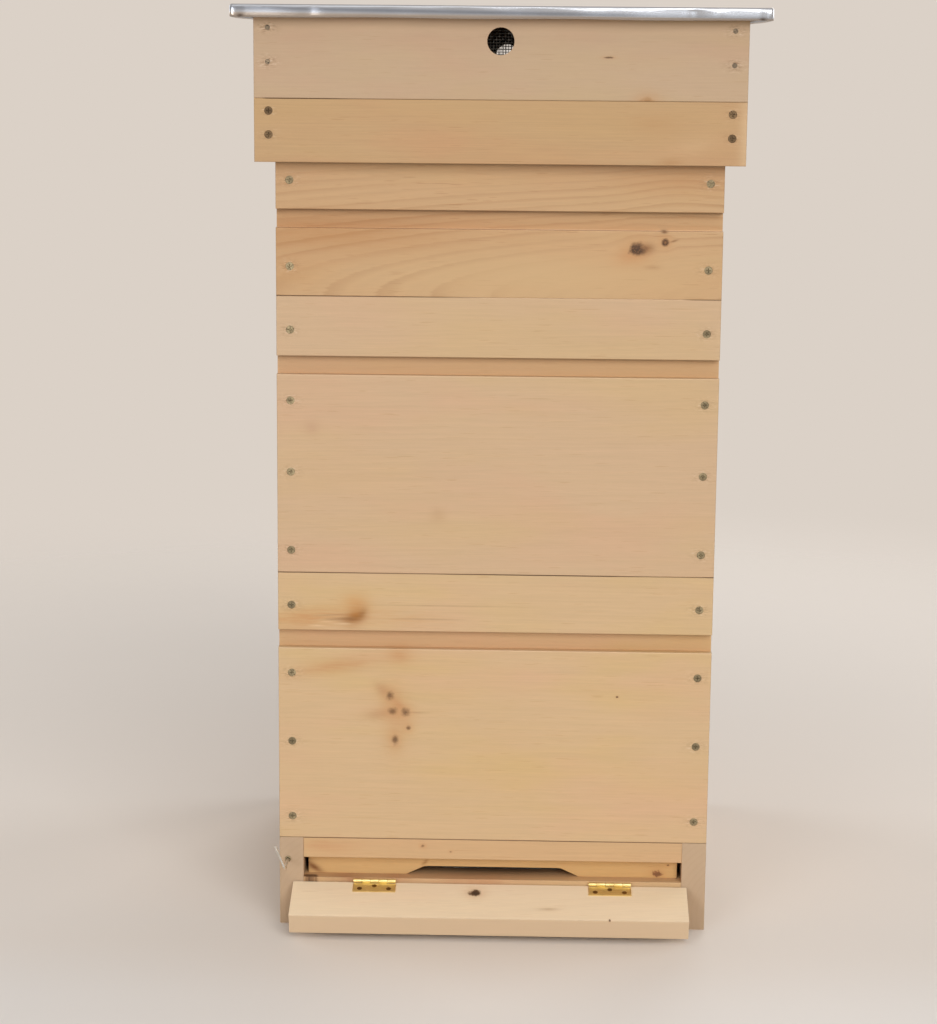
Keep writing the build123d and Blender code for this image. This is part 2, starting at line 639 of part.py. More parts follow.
def eke():
    """The shallow frame under the roof, rebated to sit on the crown board and lap over the super."""
    places = corner_places(
        ROOF_RIGHT, EKE_SCREW_INSET, ROOF_FRONT, ROOF_BACK, ROOF_BOTTOM, EKE_SCREW_DROPS, SCREW_SINK
    )
    holes = driven(box_screw_hole(), places)
    lap = RIGHT + SKIRT_CLEARANCE
    rebate = block(
        -lap, lap, FRONT - SKIRT_CLEARANCE, BACK + SKIRT_CLEARANCE, EKE_BOTTOM - EKE_SKIRT, EKE_LEDGE
    )
    boards = board_ring(EKE_BOTTOM, ROOF_BOTTOM)
    nodes = {f"eke_{side}": [bored(board - rebate, holes)] for side, board in boards.items()}
    nodes["eke_screws"] = driven(box_screw(), places)
    return nodes


def lid_form(half, front, back, bottom, top, edge, corner):
    """A flat lid with rounded corners and a rounded top edge."""
    form = block(-half, half, front, back, bottom, top)
    form = fillet(form.edges().filter_by(Axis.Z), corner)
    return fillet(form.faces().sort_by(Axis.Z)[-1].edges(), edge)


def roof():
    """The roof: a frame of boards, locating battens, vents with mesh, a deck and a folded metal cover."""
    places = corner_places(
        ROOF_RIGHT, ROOF_NAIL_INSET, ROOF_FRONT, ROOF_BACK, LID_BOTTOM, ROOF_NAIL_DROPS, SCREW_SINK
    )
    holes = driven(nail_form(SHANK_CLEARANCE, 2 * SCREW_SINK), places)
    vents = {"front": (0, LID_BOTTOM - VENT_DROP), "back": (BACK_VENT_SHIFT, LID_BOTTOM - BACK_VENT_DROP)}
    vent_tool = Rot(90, 0, 0) * Cylinder(VENT_RADIUS, 2 * BOX_DEPTH)
    boards = board_ring(ROOF_BOTTOM, LID_BOTTOM)
    for side, (x, height) in vents.items():
        boards[side] -= Pos(x, CENTRE_Y, height) * vent_tool
    nodes = {f"roof_{side}": [bored(board, holes)] for side, board in boards.items()}
    nodes["roof_nails"] = driven(nail_form(), places)

    inner_right = ROOF_RIGHT - ROOF_BOARD_THICKNESS
    inner_front, inner_back = ROOF_FRONT + ROOF_BOARD_THICKNESS, ROOF_BACK - ROOF_BOARD_THICKNESS
    thick, low, high = ROOF_BATTEN_THICKNESS, ROOF_BOTTOM - ROOF_TONGUE, ROOF_BOTTOM + ROOF_BATTEN_HEIGHT
    battens = [
        block(-inner_right, inner_right, inner_front, inner_front + thick, low, high),
        block(-inner_right, inner_right, inner_back - thick, inner_back, low, high),
        block(-inner_right, thick - inner_right, inner_front + thick, inner_back - thick, low, high),
        block(inner_right - thick, inner_right, inner_front + thick, inner_back - thick, low, high),
    ]
    slack_right, depth = inner_right - TONGUE_CLEARANCE, ROOF_BOTTOM + TONGUE_CLEARANCE
    outside = block(-ROOF_RIGHT, ROOF_RIGHT, ROOF_FRONT, ROOF_BACK, low - ROOF_TONGUE, depth)
    outside -= block(
        -slack_right,
        slack_right,
        inner_front + TONGUE_CLEARANCE,
        inner_back - TONGUE_CLEARANCE,
        low - 2 * ROOF_TONGUE,
        high,
    )
    nodes["roof_battens"] = [batten - outside for batten in battens]

    sheet = net(VENT_MESH_SIZE, VENT_MESH_SIZE, VENT_MESH_COUNT, VENT_MESH_WIRE, VENT_MESH_THICKNESS)
    insides = {"front": (inner_front, OUT_BACK), "back": (inner_back, OUT_FRONT)}
    nodes["vent_mesh"] = []
    for side, (x, height) in vents.items():
        y, inward = insides[side]
        nodes["vent_mesh"].append(Plane(origin=(x, y, height), x_dir=(1, 0, 0), z_dir=inward) * sheet)

    half, front, back = ROOF_RIGHT + LID_OVERHANG, ROOF_FRONT - LID_OVERHANG, ROOF_BACK + LID_OVERHANG
    top = LID_BOTTOM + LID_HEIGHT
    wall, gap = SHEET_THICKNESS, SHEET_THICKNESS + DECK_CLEARANCE
    outer = lid_form(half, front, back, LID_BOTTOM, top, LID_EDGE_RADIUS, LID_CORNER_RADIUS)
    inner = lid_form(
        half - wall,
        front + wall,
        back - wall,
        LID_BOTTOM - wall,
        top - wall,
        LID_EDGE_RADIUS - wall,
        LID_CORNER_RADIUS - wall,
    )
    nodes["roof_cover"] = [outer - inner]
    nodes["roof_deck"] = [
        lid_form(
            half - gap, front + gap, back - gap, LID_BOTTOM, top - wall, LID_EDGE_RADIUS, LID_CORNER_RADIUS
        )
    ]
    return nodes


def hive():
    """Every node of the hive, by name."""
    nodes = {}
    nodes.update(floor())
    nodes.update(tray())
    nodes.update(entrance_block())
    nodes.update(landing_board())
    nodes.update(hinges())
    nodes.update(hook())
    deep_drops = (*DEEP_SCREW_DROPS, DEEP_HEIGHT - DEEP_SCREW_RISE)
    super_drops = (*SUPER_SCREW_DROPS, SUPER_HEIGHT - SUPER_SCREW_RISE)
    nodes.update(hive_box("lower_deep", LOWER_DEEP_BOTTOM, DEEP_HEIGHT, deep_drops, DEEP_FRAME_HEIGHT))
    nodes.update(hive_box("upper_deep", UPPER_DEEP_BOTTOM, DEEP_HEIGHT, deep_drops, DEEP_FRAME_HEIGHT))
    nodes.update(hive_box("super", SUPER_BOTTOM, SUPER_HEIGHT, super_drops, SUPER_FRAME_HEIGHT))
    nodes.update(crown())
    nodes.update(eke())
    nodes.update(roof())
    return nodes


os.makedirs("parts", exist_ok=True)
for node, pieces in hive().items():
    solids = [solid for piece in pieces for solid in piece.solids()]
    whole = solids[0] if len(solids) == 1 else Compound(children=solids)
    export_step(whole, os.path.join("parts", node + ".step"))
    print(node, len(solids))
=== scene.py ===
import json
import logging
import math
import random
from dataclasses import dataclass, field, replace
from enum import Enum
from typing import Any, Mapping, Sequence, Union

import bmesh
import bpy
from mathutils import Matrix, Vector


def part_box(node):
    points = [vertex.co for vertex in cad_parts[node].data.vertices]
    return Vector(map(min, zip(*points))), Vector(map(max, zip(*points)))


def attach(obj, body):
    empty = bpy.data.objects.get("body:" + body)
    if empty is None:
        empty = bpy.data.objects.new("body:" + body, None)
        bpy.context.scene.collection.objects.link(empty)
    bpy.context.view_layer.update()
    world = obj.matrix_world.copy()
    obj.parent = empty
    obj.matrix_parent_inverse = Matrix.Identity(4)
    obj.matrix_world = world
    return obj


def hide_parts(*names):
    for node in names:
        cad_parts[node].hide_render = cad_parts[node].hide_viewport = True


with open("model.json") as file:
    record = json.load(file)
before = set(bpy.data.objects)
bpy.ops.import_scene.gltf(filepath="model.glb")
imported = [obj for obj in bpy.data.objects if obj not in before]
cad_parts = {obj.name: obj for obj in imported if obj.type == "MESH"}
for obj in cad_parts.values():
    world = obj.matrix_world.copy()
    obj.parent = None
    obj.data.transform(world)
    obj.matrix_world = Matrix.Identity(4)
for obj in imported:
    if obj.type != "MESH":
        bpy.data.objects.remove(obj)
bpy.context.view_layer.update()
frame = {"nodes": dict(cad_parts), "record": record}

# A stacked pine beehive, in metres. X runs to the right as seen from the entrance, Y runs from the
# entrance to the back and Z is up. The frame gives every place, and the finishes are worked out in it.

log = logging.getLogger("hive")

Colour = tuple[float, float, float, float]
Value = Union["Field", float]
Tint = Union["Field", Colour]
Stops = Sequence[tuple[float, Colour]]
Openness = tuple[tuple[float, float], ...]
MM = 0.001
WELD_REACH = 0.01 * MM
EASE_SEGMENTS = 2
EASE_ANGLE = math.radians(40)


def srgb(red: float, green: float, blue: float) -> Colour:
    """Turns a screen colour into a linear one.

    Args:
        red, green, blue: The colour as it looks on a screen, each from 0 to 255.

    Returns:
        The linear colour with full opacity.
    """
    screen = [channel / 255 for channel in (red, green, blue)]
    linear = [c / 12.92 if c <= 0.04045 else ((c + 0.055) / 1.055) ** 2.4 for c in screen]
    return (*linear, 1.0)


class Field:
    """A node's output on which Python arithmetic adds Math nodes."""

    def __init__(self, tree: bpy.types.NodeTree, socket: bpy.types.NodeSocket) -> None:
        """Wraps one output socket of a tree."""
        self.tree = tree
        self.socket = socket

    def join(self, operation: str, *operands: Value) -> "Field":
        """Adds a Math node.

        Args:
            operation: The Math node's operation.
            operands: What goes into its sockets, in order.

        Returns:
            The node's result.
        """
        node = self.tree.nodes.new("ShaderNodeMath")
        node.operation = operation
        for socket, operand in zip(node.inputs, operands):
            if isinstance(operand, Field):
                self.tree.links.new(operand.socket, socket)
            else:
                socket.default_value = operand
        return Field(self.tree, node.outputs[0])

    def __add__(self, other: Value) -> "Field":
        """The sum of two values."""
        return self.join("ADD", self, other)

    def __radd__(self, other: Value) -> "Field":
        """The sum with a number on the left."""
        return self.join("ADD", other, self)

    def __sub__(self, other: Value) -> "Field":
        """The difference of two values."""
        return self.join("SUBTRACT", self, other)

    def __rsub__(self, other: Value) -> "Field":
        """The difference with a number on the left."""
        return self.join("SUBTRACT", other, self)

    def __mul__(self, other: Value) -> "Field":
        """The product of two values."""
        return self.join("MULTIPLY", self, other)

    def __rmul__(self, other: Value) -> "Field":
        """The product with a number on the left."""
        return self.join("MULTIPLY", other, self)

    def __truediv__(self, other: Value) -> "Field":
        """The quotient of two values."""
        return self.join("DIVIDE", self, other)

    def __rtruediv__(self, other: Value) -> "Field":
        """The quotient with a number on the left."""
        return self.join("DIVIDE", other, self)

    def __abs__(self) -> "Field":
        """The size of the value without its sign."""
        return self.join("ABSOLUTE", self)

    def root(self) -> "Field":
        """The square root."""
        return self.join("SQRT", self)

    def fraction(self) -> "Field":
        """The part after the whole number."""
        return self.join("FRACT", self)

    def whole(self) -> "Field":
        """The whole number below the value."""
        return self.join("FLOOR", self)

    def bell(self) -> "Field":
        """A bell curve, 1 where the value is 0."""
        return self.join("EXPONENT", self * self * -1.0)

    def least(self, other: Value) -> "Field":
        """The smaller of two values."""
        return self.join("MINIMUM", self, other)

    def most(self, other: Value) -> "Field":
        """The larger of two values."""
        return self.join("MAXIMUM", self, other)


class Shader:
    """Builds the node tree of one material or world."""

    def __init__(self, owner: bpy.types.Material | bpy.types.World) -> None:
        """Starts an empty tree.

        Args:
            owner: The material or the world that it belongs to.
        """
        owner.use_nodes = True
        self.owner = owner
        self.tree = owner.node_tree
        self.tree.nodes.clear()

    @classmethod
    def named(cls, name: str) -> "Shader":
        """Starts a new material of that name."""
        return cls(bpy.data.materials.new(name))

    def node(
        self,
        kind: str,
        settings: Mapping[str, Any] | None = None,
        sockets: Mapping[int | str, Any] | None = None,
        output: int | str = 0,
    ) -> Field:
        """Adds a node of any kind.

        Args:
            kind: The node's type.
            settings: Attributes that are set first; stops are a ramp's places and colours.
            sockets: What goes into its inputs, by name or number.
            output: The output that is wanted, by name or number.

        Returns:
            That output, or the node's first input where it has no output.
        """
        node = self.tree.nodes.new(kind)
        for key, value in (settings or {}).items():
            if key == "stops":
                elements = node.color_ramp.elements
                while len(elements) < len(value):
                    elements.new(1.0)
                for element, (place, colour) in zip(elements, value):
                    element.position = place
                    element.color = colour
            else:
                setattr(node, key, value)
        for key, value in (sockets or {}).items():
            if isinstance(value, Field):
                self.tree.links.new(value.socket, node.inputs[key])
            else:
                node.inputs[key].default_value = value
        return Field(self.tree, node.outputs[output] if node.outputs else node.inputs[0])

    def place(self) -> tuple[Field, Field, Field]:
        """The X, Y and Z of a point of the hive at rest."""
        point = self.node("ShaderNodeTexCoord", output="Object")
        return tuple(self.node("ShaderNodeSeparateXYZ", sockets={0: point}, output=axis) for axis in "XYZ")

    def facing(self, axis: int) -> Field:
        """How far a surface faces along an axis of the hive at rest, from 0 to 1."""
        normal = self.node("ShaderNodeTexCoord", output="Normal")
        return abs(self.node("ShaderNodeSeparateXYZ", sockets={0: normal}, output=axis))

    def vector(self, x: Value, y: Value, z: Value) -> Field:
        """A vector from three values."""
        return self.node("ShaderNodeCombineXYZ", sockets={0: x, 1: y, 2: z})

    def noise(self, at: Field, scale: float = 1.0, detail: float = 2.0, rough: float = 0.5) -> Field:
        """Smooth noise between 0 and 1 at a vector."""
        sockets = {"Vector": at, "Scale": scale, "Detail": detail, "Roughness": rough}
        return self.node("ShaderNodeTexNoise", sockets=sockets)

    def smooth(self, value: Value, low: float, high: float) -> Field:
        """A smooth step from 0 at low to 1 at high."""
        sockets = {"Value": value, "From Min": low, "From Max": high}
        return self.node("ShaderNodeMapRange", {"interpolation_type": "SMOOTHSTEP"}, sockets)

    def ramp(self, value: Field, stops: Stops) -> Field:
        """The colour that a ramp gives to a value between 0 and 1."""
        return self.node("ShaderNodeValToRGB", {"stops": stops}, {0: value})

    def mix(self, factor: Value, first: Tint, second: Tint, blend: str = "MIX") -> Field:
        """Mixes two colours, with as much of the second as the factor says."""
        settings = {"data_type": "RGBA", "blend_type": blend, "clamp_factor": True}
        return self.node("ShaderNodeMix", settings, {0: factor, 6: first, 7: second}, 2)

    def grey(self, value: Field) -> Field:
        """A grey of a value."""
        return self.node("ShaderNodeCombineColor", sockets={0: value, 1: value, 2: value})

    def bump(self, height: Field, strength: float, distance: float) -> Field:
        """The normal of a surface with fine relief."""
        sockets = {"Height": height, "Strength": strength, "Distance": distance}
        return self.node("ShaderNodeBump", sockets=sockets)

    def finish(self, **sockets: Field | Colour | float) -> bpy.types.Material:
        """Closes the material with a Principled shader.

        Args:
            sockets: Its inputs, with underscores for the spaces in their names.

        Returns:
            The material.
        """
        named = {key.replace("_", " "): value for key, value in sockets.items()}
        surface = self.node("ShaderNodeBsdfPrincipled", sockets=named)
        self.node("ShaderNodeOutputMaterial", sockets={"Surface": surface})
        return self.owner


class Grain(Enum):
    """How a board lies: the axes along its fibres, across its face and through its thickness."""

    ACROSS_UPRIGHT = (0, 2, 1)
    DEEP_UPRIGHT = (1, 2, 0)
    ACROSS_FLAT = (0, 1, 2)
    DEEP_FLAT = (1, 0, 2)

    @property
    def end_axis(self) -> int:
        """The axis that the end grain faces."""
        return self.value[0]


def timber(*screen: tuple[int, int, int]) -> tuple[Colour, ...]:
    """Turns the screen colours of a kind of timber into linear ones."""
    return tuple(srgb(*colour) for colour in screen)


class Tone(Enum):
    """The hive's kinds of timber: pale wood, late wood, a pink flush, a yellow flush and end grain."""

    UPPER = timber((203, 171, 136), (172, 130, 90), (205, 168, 134), (203, 171, 129), (174, 140, 105))
    LOWER = timber((206, 174, 134), (178, 136, 90), (209, 171, 134), (206, 174, 122), (176, 142, 104))
    SUPER = timber((199, 162, 121), (152, 104, 62), (200, 156, 113), (202, 168, 119), (166, 127, 90))
    EKE = timber((193, 157, 115), (166, 124, 80), (194, 151, 110), (193, 157, 112), (164, 125, 86))
    ROOF = timber((192, 163, 132), (168, 134, 99), (193, 158, 129), (192, 164, 126), (166, 133, 100))
    FLOOR = timber((203, 167, 125), (178, 134, 90), (206, 163, 122), (206, 172, 122), (176, 136, 96))
    RUNNER = timber((196, 168, 135), (166, 135, 101), (193, 160, 129), (195, 167, 127), (187, 160, 132))
    BLOCK = timber((212, 172, 117), (186, 136, 78), (212, 164, 108), (214, 174, 110), (176, 128, 78))
    LANDING = timber((239, 216, 183), (212, 180, 140), (237, 208, 175), (236, 214, 174), (202, 174, 138))
    FRAME = timber((222, 192, 148), (198, 158, 108), (218, 182, 142), (220, 194, 142), (196, 160, 114))


KNOT_DARK = srgb(54, 36, 25)
KNOT_BROWN = srgb(126, 88, 58)
KNOT_ORANGE = srgb(166, 106, 52)
RESIN = srgb(192, 134, 80)
TORN = srgb(228, 208, 182)
SHADOW = srgb(78, 54, 34)
# Painted light: a pale tone laid over shut joints and groove ledges to lift the shade there.
PAINTED_LIGHT = srgb(250, 224, 190)
# A pale tone for a painted highlight along an edge.
PAINTED_EDGE_HIGHLIGHT = srgb(236, 204, 168)

# How open the joints between boards are, from 0 to 1, at places along them.
SHUT: Openness = ((-0.25, 0.0), (0.25, 0.0))
LOOSE: Openness = ((-0.27, 0.7), (-0.1, 0.45), (0.08, 0.65), (0.28, 0.55))
RAIL_JOINT: Openness = ((-0.222, 0.85), (-0.05, 0.7), (0.10, 0.85), (0.222, 0.6))
FLOOR_JOINT: Openness = ((-0.25, 0.7), (0.0, 0.6), (0.25, 0.75))
DEEP_JOINT: Openness = (
    (-0.25, 0.95),
    (-0.09, 0.6),
    (0.0, 1.0),
    (0.13, 1.0),
    (0.17, 0.5),
    (0.23, 0.6),
    (0.25, 1.0),
)
SUPER_JOINT: Openness = (
    (-0.25, 0.9),
    (-0.09, 0.7),
    (-0.03, 0.2),
    (0.0, 0.0),
    (0.205, 0.0),
    (0.22, 0.6),
    (0.25, 0.7),
)
ROOF_JOINT: Openness = (
    (-0.271, 0.0),
    (-0.263, 0.0),
    (-0.257, 0.9),
    (-0.190, 0.85),
    (-0.165, 0.35),
    (0.0, 0.2),
    (0.271, 0.3),
)
# How strong the painted shadow is under the eke's and the lid's overhangs, from 0 to 1, at places along
# them.
EKE_SHADOW: Openness = ((-0.25, 0.3), (0.25, 0.3))
LID_SHADOW: Openness = ((-0.271, 0.2), (0.271, 0.2))


@dataclass(frozen=True)
class Spot:
    """A point of a board: its place along the fibres, across the face and through the thickness."""

    along: Field
    across: Field
    through: Field


@dataclass(frozen=True)
class Streaks:
    """Noise that is drawn out along the fibres of a board."""

    along: float
    across: float
    detail: float = 1.0
    rough: float = 0.5

    def at(self, shader: Shader, spot: Spot, start: float = 0.0, depth: float = 0.0) -> Field:
        """The noise at a point.

        Args:
            shader: The board's material.
            spot: The point on the board.
            start, depth: How far the pattern is moved along and through the board.

        Returns:
            A value between 0 and 1.
        """
        through = spot.through * self.across + depth
        point = shader.vector(spot.along * self.along + start, spot.across * self.across, through)
        return shader.noise(point, 1.0, self.detail, self.rough)


FIBRE = Streaks(16, 640, 3.0, 0.6)
FLECK = Streaks(30, 620)
WARM_FLUSH = Streaks(5, 15, 3.0, 0.55)
SUNNY_FLUSH = Streaks(3, 11, 3.0, 0.55)
SLOW_BEND = Streaks(1.7, 8, 2.0)
SUNNY_DEPTH = 4.0


class Mark:
    """Something that shows at one place of a board."""

    def bow(self, spot: Spot, bowed: Field) -> Field:
        """Where a point lies across the fibres, once the mark has pushed them aside."""
        return bowed

    def calm(self, spot: Spot, lines: Field) -> Field:
        """How strongly the year rings show at a point near the mark."""
        return lines

    def paint(self, shader: Shader, spot: Spot, colour: Field) -> Field:
        """The wood's colour at a point, with the mark in it."""
        return colour


@dataclass(frozen=True)
class Knot(Mark):
    """A knot through a board, or a short one at a depth, with the fibres bent round it."""

    along: float
    across: float
    radius: float
    stretch: float = 1.3
    tone: Colour = KNOT_BROWN
    strength: float = 0.92
    bend: float = 2.4
    soft: float = 0.6
    ragged: float = 1.1
    halo: float = 0.45
    through: float | None = None
    heart: Colour = KNOT_DARK
    pale_middle: float = 0.0

    def far(self, spot: Spot) -> Field:
        """How far a point is from the middle of the knot.

        Args:
            spot: The point on the board.

        Returns:
            The distance, in the knot's own sizes.
        """
        out = (spot.along - self.along) / (self.radius * self.stretch)
        up = (spot.across - self.across) / self.radius
        total = out * out + up * up
        if self.through is not None:
            deep = (spot.through - self.through) / self.radius
            total = total + deep * deep
        return total.root()

    def bow(self, spot: Spot, bowed: Field) -> Field:
        """Pushes the fibres aside round the knot."""
        near = (self.far(spot) / self.bend).bell()
        return bowed - (spot.across - self.across) * near * 0.85

    def paint(self, shader: Shader, spot: Spot, colour: Field) -> Field:
        """Colours the knot, its flakes and the wood round it.

        Args:
            shader: The board's material.
            spot: The point on the board.
            colour: The wood's colour so far.

        Returns:
            The colour with the knot in it.
        """
        point = shader.vector(spot.along, spot.across, self.radius * 70)
        torn = shader.noise(point, 0.9 / self.radius, 3.0, 0.65)
        flake = shader.noise(point, 4.2 / self.radius, 2.0, 0.6)
        far = self.far(spot) + (torn - 0.5) * self.ragged
        core = (1 - shader.smooth(far, 1.1 - self.soft, 1.15)) * self.strength
        mottle = far * 0.3 + torn * 0.5 + flake * 0.4
        heart = shader.mix(shader.smooth(mottle, 0.4, 0.95), self.heart, self.tone)
        heart = shader.mix(shader.smooth(flake, 0.56, 0.72) * 0.4, heart, RESIN)
        heart = shader.mix((far * 3.2).bell() * self.pale_middle, heart, RESIN)
        glow = (far / (0.75 * self.bend)).bell() * (self.halo * self.strength)
        return shader.mix(core, shader.mix(glow, colour, RESIN), heart)


@dataclass(frozen=True)
class Stain(Mark):
    """A soft streak of another tone in a board."""

    along: float
    across: float
    length: float
    width: float
    slope: float = 0.0
    tone: Colour = RESIN
    strength: float = 0.4
    fibrous: float = 0.55

    def paint(self, shader: Shader, spot: Spot, colour: Field) -> Field:
        """Colours the streak.

        Args:
            shader: The board's material.
            spot: The point on the board.
            colour: The wood's colour so far.

        Returns:
            The colour with the streak in it.
        """
        out = (spot.along - self.along) / self.length
        up = (spot.across - self.across - (spot.along - self.along) * self.slope) / self.width
        point = shader.vector(spot.along * 34, spot.across * 420, self.width * 90)
        threads = shader.noise(point, 1.0, 3.0, 0.6)
        near = (out * out + up * up).root().bell()
        shows = 1 - self.fibrous + shader.smooth(threads, 0.3, 0.7) * self.fibrous
        return shader.mix(near * shows * self.strength, colour, self.tone)


@dataclass(frozen=True)
class Patch(Mark):
    """A place on a board with soft edges."""

    along: float
    across: float
    length: float
    width: float

    def inside(self, spot: Spot) -> Field:
        """How far a point is inside the place.

        Args:
            spot: The point on the board.

        Returns:
            A value from 0 far away to 1 in the middle.
        """
        out = ((spot.along - self.along) / self.length).bell()
        up = ((spot.across - self.across) / self.width).bell()
        return out * up


@dataclass(frozen=True)
class Swell(Patch):
    """A place where the lines of the wood rise or dip."""

    lift: float

    def bow(self, spot: Spot, bowed: Field) -> Field:
        """Lifts the lines, most in the middle of the swell."""
        return bowed - self.inside(spot) * self.lift


@dataclass(frozen=True)
class Calm(Patch):
    """A place where the lines of the wood are faint."""

    strength: float

    def calm(self, spot: Spot, lines: Field) -> Field:
        """Fades the lines, most in the middle of the place."""
        return lines * (1 - self.inside(spot) * self.strength)


@dataclass(frozen=True)
class Seam(Mark):
    """The dark joint along a board's edge, open more at some places than at others; also used for painted
    shadow under overhangs and painted light along edges.
    """

    across: float
    openness: Openness
    reach: float = 0.9 * MM
    pale: Colour = SHADOW
    paleness: float = 0.0

    def paint(self, shader: Shader, spot: Spot, colour: Field) -> Field:
        """Darkens the edge where the joint is open, and lays painted light on it where it is shut, lifting
        the shade there.

        Args:
            shader: The board's material.
            spot: The point on the board.
            colour: The wood's colour so far.

        Returns:
            The colour with the joint in it.
        """
        first, last = self.openness[0][0], self.openness[-1][0]
        stops = [((place - first) / (last - first), (*[open_] * 3, 1.0)) for place, open_ in self.openness]
        shows = shader.ramp((spot.along - first) / (last - first), stops)
        near = 1 - shader.smooth(abs(spot.across - self.across), 0.3 * self.reach, self.reach)
        near = near * (1 - shader.smooth(shader.facing(2), 0.85, 0.97))
        # Painted light over the shut parts of the joint, lifting the shade in its groove.
        if self.paleness:
            shut = 1 - shader.smooth(shows, 0.1, 0.5)
            colour = shader.mix(near * shut * self.paleness, colour, self.pale)
        return shader.mix(near * shows, colour, SHADOW)


@dataclass(frozen=True)
class Hollow(Mark):
    """The wood in a groove: warmer than the planed face, with painted shade under its upper edge and
    painted light on its lower ledge.
    """

    face: float
    depth: float
    top: float
    height: float
    strength: float = 0.35
    tone: Colour = srgb(202, 150, 98)
    shade: float = 0.35
    reach: float = 4.0 * MM
    ledge_light: float = 0.0
    ledge_light_reach: float = 1.5 * MM
    ledge_light_start: float = 0.3 * MM

    def paint(self, shader: Shader, spot: Spot, colour: Field) -> Field:
        """Warms the wood behind the face, paints shade under the upper edge and paints light on the lower
        ledge.

        Args:
            shader: The board's material.
            spot: The point on the board.
            colour: The wood's colour so far.

        Returns:
            The colour with the groove in it.
        """
        behind = abs(spot.through - self.face)
        deep = shader.smooth(behind, 0.25 * self.depth, 0.9 * self.depth)
        # Painted shade under the groove's upper edge.
        under = shader.smooth(spot.across, self.top - self.reach, self.top) * deep
        warm = shader.mix(deep * self.strength, colour, self.tone)
        # Painted light on the groove's lower ledge, which lies in shade.
        if self.ledge_light:
            bottom = self.top - self.height
            low = 1 - shader.smooth(spot.across, bottom, bottom + self.ledge_light_reach)
            inside = shader.smooth(behind, self.ledge_light_start, 2 * self.ledge_light_start)
            warm = shader.mix(low * inside * self.ledge_light, warm, PAINTED_LIGHT)
        return shader.mix(under * self.shade, warm, SHADOW)


@dataclass(frozen=True)
class ShadedEdge(Mark):
    """A sawn edge of a board, darker than its planed face: painted shade for a face that gets less light
    than the top.
    """

    axis: int
    tone: Colour
    strength: float

    def paint(self, shader: Shader, spot: Spot, colour: Field) -> Field:
        """Paints shade on the wood where the surface faces along the axis."""
        edge = shader.smooth(shader.facing(self.axis), 0.6, 0.9)
        return shader.mix(edge * self.strength, colour, self.tone)


@dataclass(frozen=True)
class DrivenHeads(Mark):
    """Torn fibres round the heads of fasteners, at the same places at both ends of a board."""

    half_spacing: float
    heights: tuple[float, ...]
    radius: float
    strength: float
    tone: Colour = TORN

    def paint(self, shader: Shader, spot: Spot, colour: Field) -> Field:
        """Colours the torn fibres.

        Args:
            shader: The board's material.
            spot: The point on the board.
            colour: The wood's colour so far.

        Returns:
            The colour with the torn fibres in it.
        """
        out = (abs(spot.along) - self.half_spacing) / (self.radius * 1.6)
        rise = abs(spot.across - self.heights[0])
        for height in self.heights[1:]:
            rise = rise.least(abs(spot.across - height))
        up = rise / self.radius
        far = (out * out + up * up).root()
        point = shader.vector(spot.along * 210, spot.across * 760, 0.5)
        threads = shader.noise(point, 1.0, 2.0, 0.7)
        pale = (far * 0.8).bell() * shader.smooth(threads, 0.56, 0.7) * self.strength
        dark = (far * 0.85).bell() * (1 - shader.smooth(threads, 0.38, 0.52)) * self.strength
        return shader.mix(dark * 0.7, shader.mix(pale, colour, self.tone), KNOT_BROWN)


def on_board(node: str, *marks: Knot | Stain | Patch) -> tuple[Mark, ...]:
    """Moves marks whose heights are above a board's lower edge to where the board stands."""
    low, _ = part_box(node)
    return tuple(replace(mark, across=low.z + mark.across) for mark in marks)


